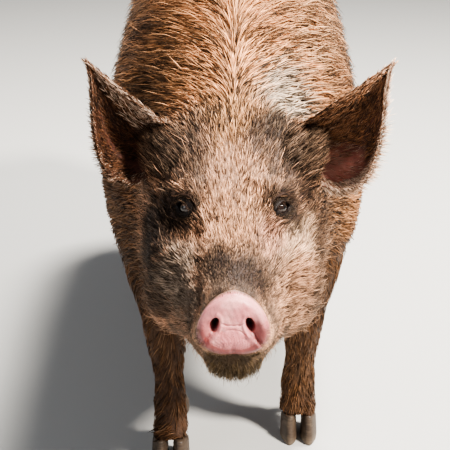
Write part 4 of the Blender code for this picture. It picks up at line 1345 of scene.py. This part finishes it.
# Area lights: place, what they aim at, size, watts and colour.
LIGHTS = {
    "key": ((2.1, -1.6, 3.0), (0.0, -0.3, 0.45), 0.50, 470.0, (1.0, 0.93, 0.84)),
    "fill": ((-2.4, -2.2, 1.6), (0.0, -0.3, 0.40), 1.8, 28.0, (0.92, 0.96, 1.0)),
    "top": ((0.8, 1.0, 3.2), (0.0, 0.1, 0.6), 0.6, 400.0, (1.0, 0.95, 0.88)),
}


def build_stage():
    bm = bmesh.new()
    bmesh.ops.create_circle(bm, cap_ends=True, cap_tris=True, segments=96, radius=40.0)
    floor = new_object("studio_floor", bm)
    fill(floor.data.polygons, "use_smooth", np.ones(len(floor.data.polygons)), bool)
    recipe = Recipe("pale floor")
    recipe.finish({}, base_color=(0.42, 0.42, 0.41, 1.0), roughness=0.85)
    floor.data.materials.append(recipe.material)

    scene = bpy.context.scene
    world = bpy.data.worlds.new("studio")
    world.use_nodes = True
    background = world.node_tree.nodes["Background"].inputs
    background["Color"].default_value = (0.86, 0.89, 0.94, 1.0)
    background["Strength"].default_value = 0.34
    scene.world = world
    scene.view_settings.look = "AgX - Medium High Contrast"
    for name, (place, target, size, energy, colour) in LIGHTS.items():
        lamp = bpy.data.lights.new(name, "AREA")
        lamp.size, lamp.energy, lamp.color = size, energy, colour
        obj = linked(name, lamp)
        obj.location = place
        obj.rotation_euler = (Vector(target) - Vector(place)).to_track_quat("-Z", "Y").to_euler()

    lens = bpy.data.cameras.new("camera")
    lens.sensor_width = SENSOR
    lens.lens = FOCAL_LENGTH / PHOTO_SIDE * SENSOR
    lens.shift_x, lens.shift_y = SHIFT[0] / PHOTO_SIDE, SHIFT[1] / PHOTO_SIDE
    lens.clip_end = 100.0
    camera = linked("camera", lens)
    middle_z = (SNOUT_BOX[0].z + SNOUT_BOX[1].z) / 2
    camera.location = (
        0.0, FRONT_Y - CAMERA_AWAY * math.cos(CAMERA_RISE),
        middle_z + CAMERA_AWAY * math.sin(CAMERA_RISE),
    )
    camera.rotation_euler = (math.pi / 2 - CAMERA_PITCH, 0.0, 0.0)
    scene.camera = camera


# The add-on: properties, one operator for each group of pieces, and the panel.

class PigSkinSettings(bpy.types.PropertyGroup):
    grain: bpy.props.FloatProperty(
        name="Grain", description="Size of the squares of the skin", default=0.0055, min=0.003,
        max=0.02, unit="LENGTH",
    )


class PigCoatSettings(bpy.types.PropertyGroup):
    fullness: bpy.props.FloatProperty(
        name="Fullness", description="Share of the coat's tufts that are made", default=1.0,
        min=0.05, max=1.0, subtype="FACTOR",
    )


class PIG_OT_skin(bpy.types.Operator):
    """Makes the skin in one piece, with its folds and the eyes' hollows"""
    bl_idname = "pig.skin"
    bl_label = "Build skin"

    def execute(self, context):
        build_skin(context.scene.pig_skin)
        return {"FINISHED"}


class PIG_OT_face(bpy.types.Operator):
    """Makes the snout, the eyes and the lids"""
    bl_idname = "pig.face"
    bl_label = "Build face"

    def execute(self, context):
        build_snout()
        build_eyes()
        build_lids(bpy.data.objects["skin"])
        return {"FINISHED"}


class PIG_OT_ears(bpy.types.Operator):
    """Makes both ears"""
    bl_idname = "pig.ears"
    bl_label = "Build ears"

    def execute(self, context):
        finish = ear_finish()
        for word in SIDES:
            build_ear(word, finish)
        return {"FINISHED"}


class PIG_OT_claws(bpy.types.Operator):
    """Makes the claws and dewclaws"""
    bl_idname = "pig.claws"
    bl_label = "Build claws"

    def execute(self, context):
        build_claws()
        return {"FINISHED"}


class PIG_OT_coat(bpy.types.Operator):
    """Covers skin and ears with bristles, and sets the lashes"""
    bl_idname = "pig.coat"
    bl_label = "Build coat"

    def execute(self, context):
        skin, lids = bpy.data.objects["skin"], bpy.data.objects["lids"]
        finish = coat_finish()
        share = context.scene.pig_coat.fullness * 1.0
        build_fleeces(skin, finish, share)
        ear_hair = ear_coat_finish()
        for word in SIDES:
            build_ear_coat(word, ear_hair, share)
        build_ear_roots(skin, finish)
        build_snout_hairs(finish)
        build_lid_coat(lids, finish)
        build_lashes(lids, finish)
        return {"FINISHED"}


class PIG_OT_stage(bpy.types.Operator):
    """Sets the floor, the lights and the camera"""
    bl_idname = "pig.stage"
    bl_label = "Build studio"

    def execute(self, context):
        build_stage()
        return {"FINISHED"}


class PIG_PT_panel(bpy.types.Panel):
    bl_idname = "PIG_PT_panel"
    bl_label = "Standing pig"
    bl_space_type = "VIEW_3D"
    bl_region_type = "UI"
    bl_category = "Pig"

    def draw(self, context):
        column = self.layout.column()
        column.prop(context.scene.pig_skin, "grain")
        column.prop(context.scene.pig_coat, "fullness")
        for operator in OPERATORS:
            column.operator(operator.bl_idname)


SETTINGS = (PigSkinSettings, PigCoatSettings)
OPERATORS = (PIG_OT_skin, PIG_OT_face, PIG_OT_ears, PIG_OT_claws, PIG_OT_coat, PIG_OT_stage)


def register():
    for made in (*SETTINGS, *OPERATORS, PIG_PT_panel):
        bpy.utils.register_class(made)
    bpy.types.Scene.pig_skin = bpy.props.PointerProperty(type=PigSkinSettings)
    bpy.types.Scene.pig_coat = bpy.props.PointerProperty(type=PigCoatSettings)


def unregister():
    del bpy.types.Scene.pig_coat
    del bpy.types.Scene.pig_skin
    for made in reversed((*SETTINGS, *OPERATORS, PIG_PT_panel)):
        bpy.utils.unregister_class(made)


def main():
    register()
    bpy.ops.pig.skin()
    bpy.ops.pig.face()
    bpy.ops.pig.ears()
    bpy.ops.pig.claws()
    bpy.ops.pig.coat()
    bpy.ops.pig.stage()


if __name__ == "__main__":
    main()
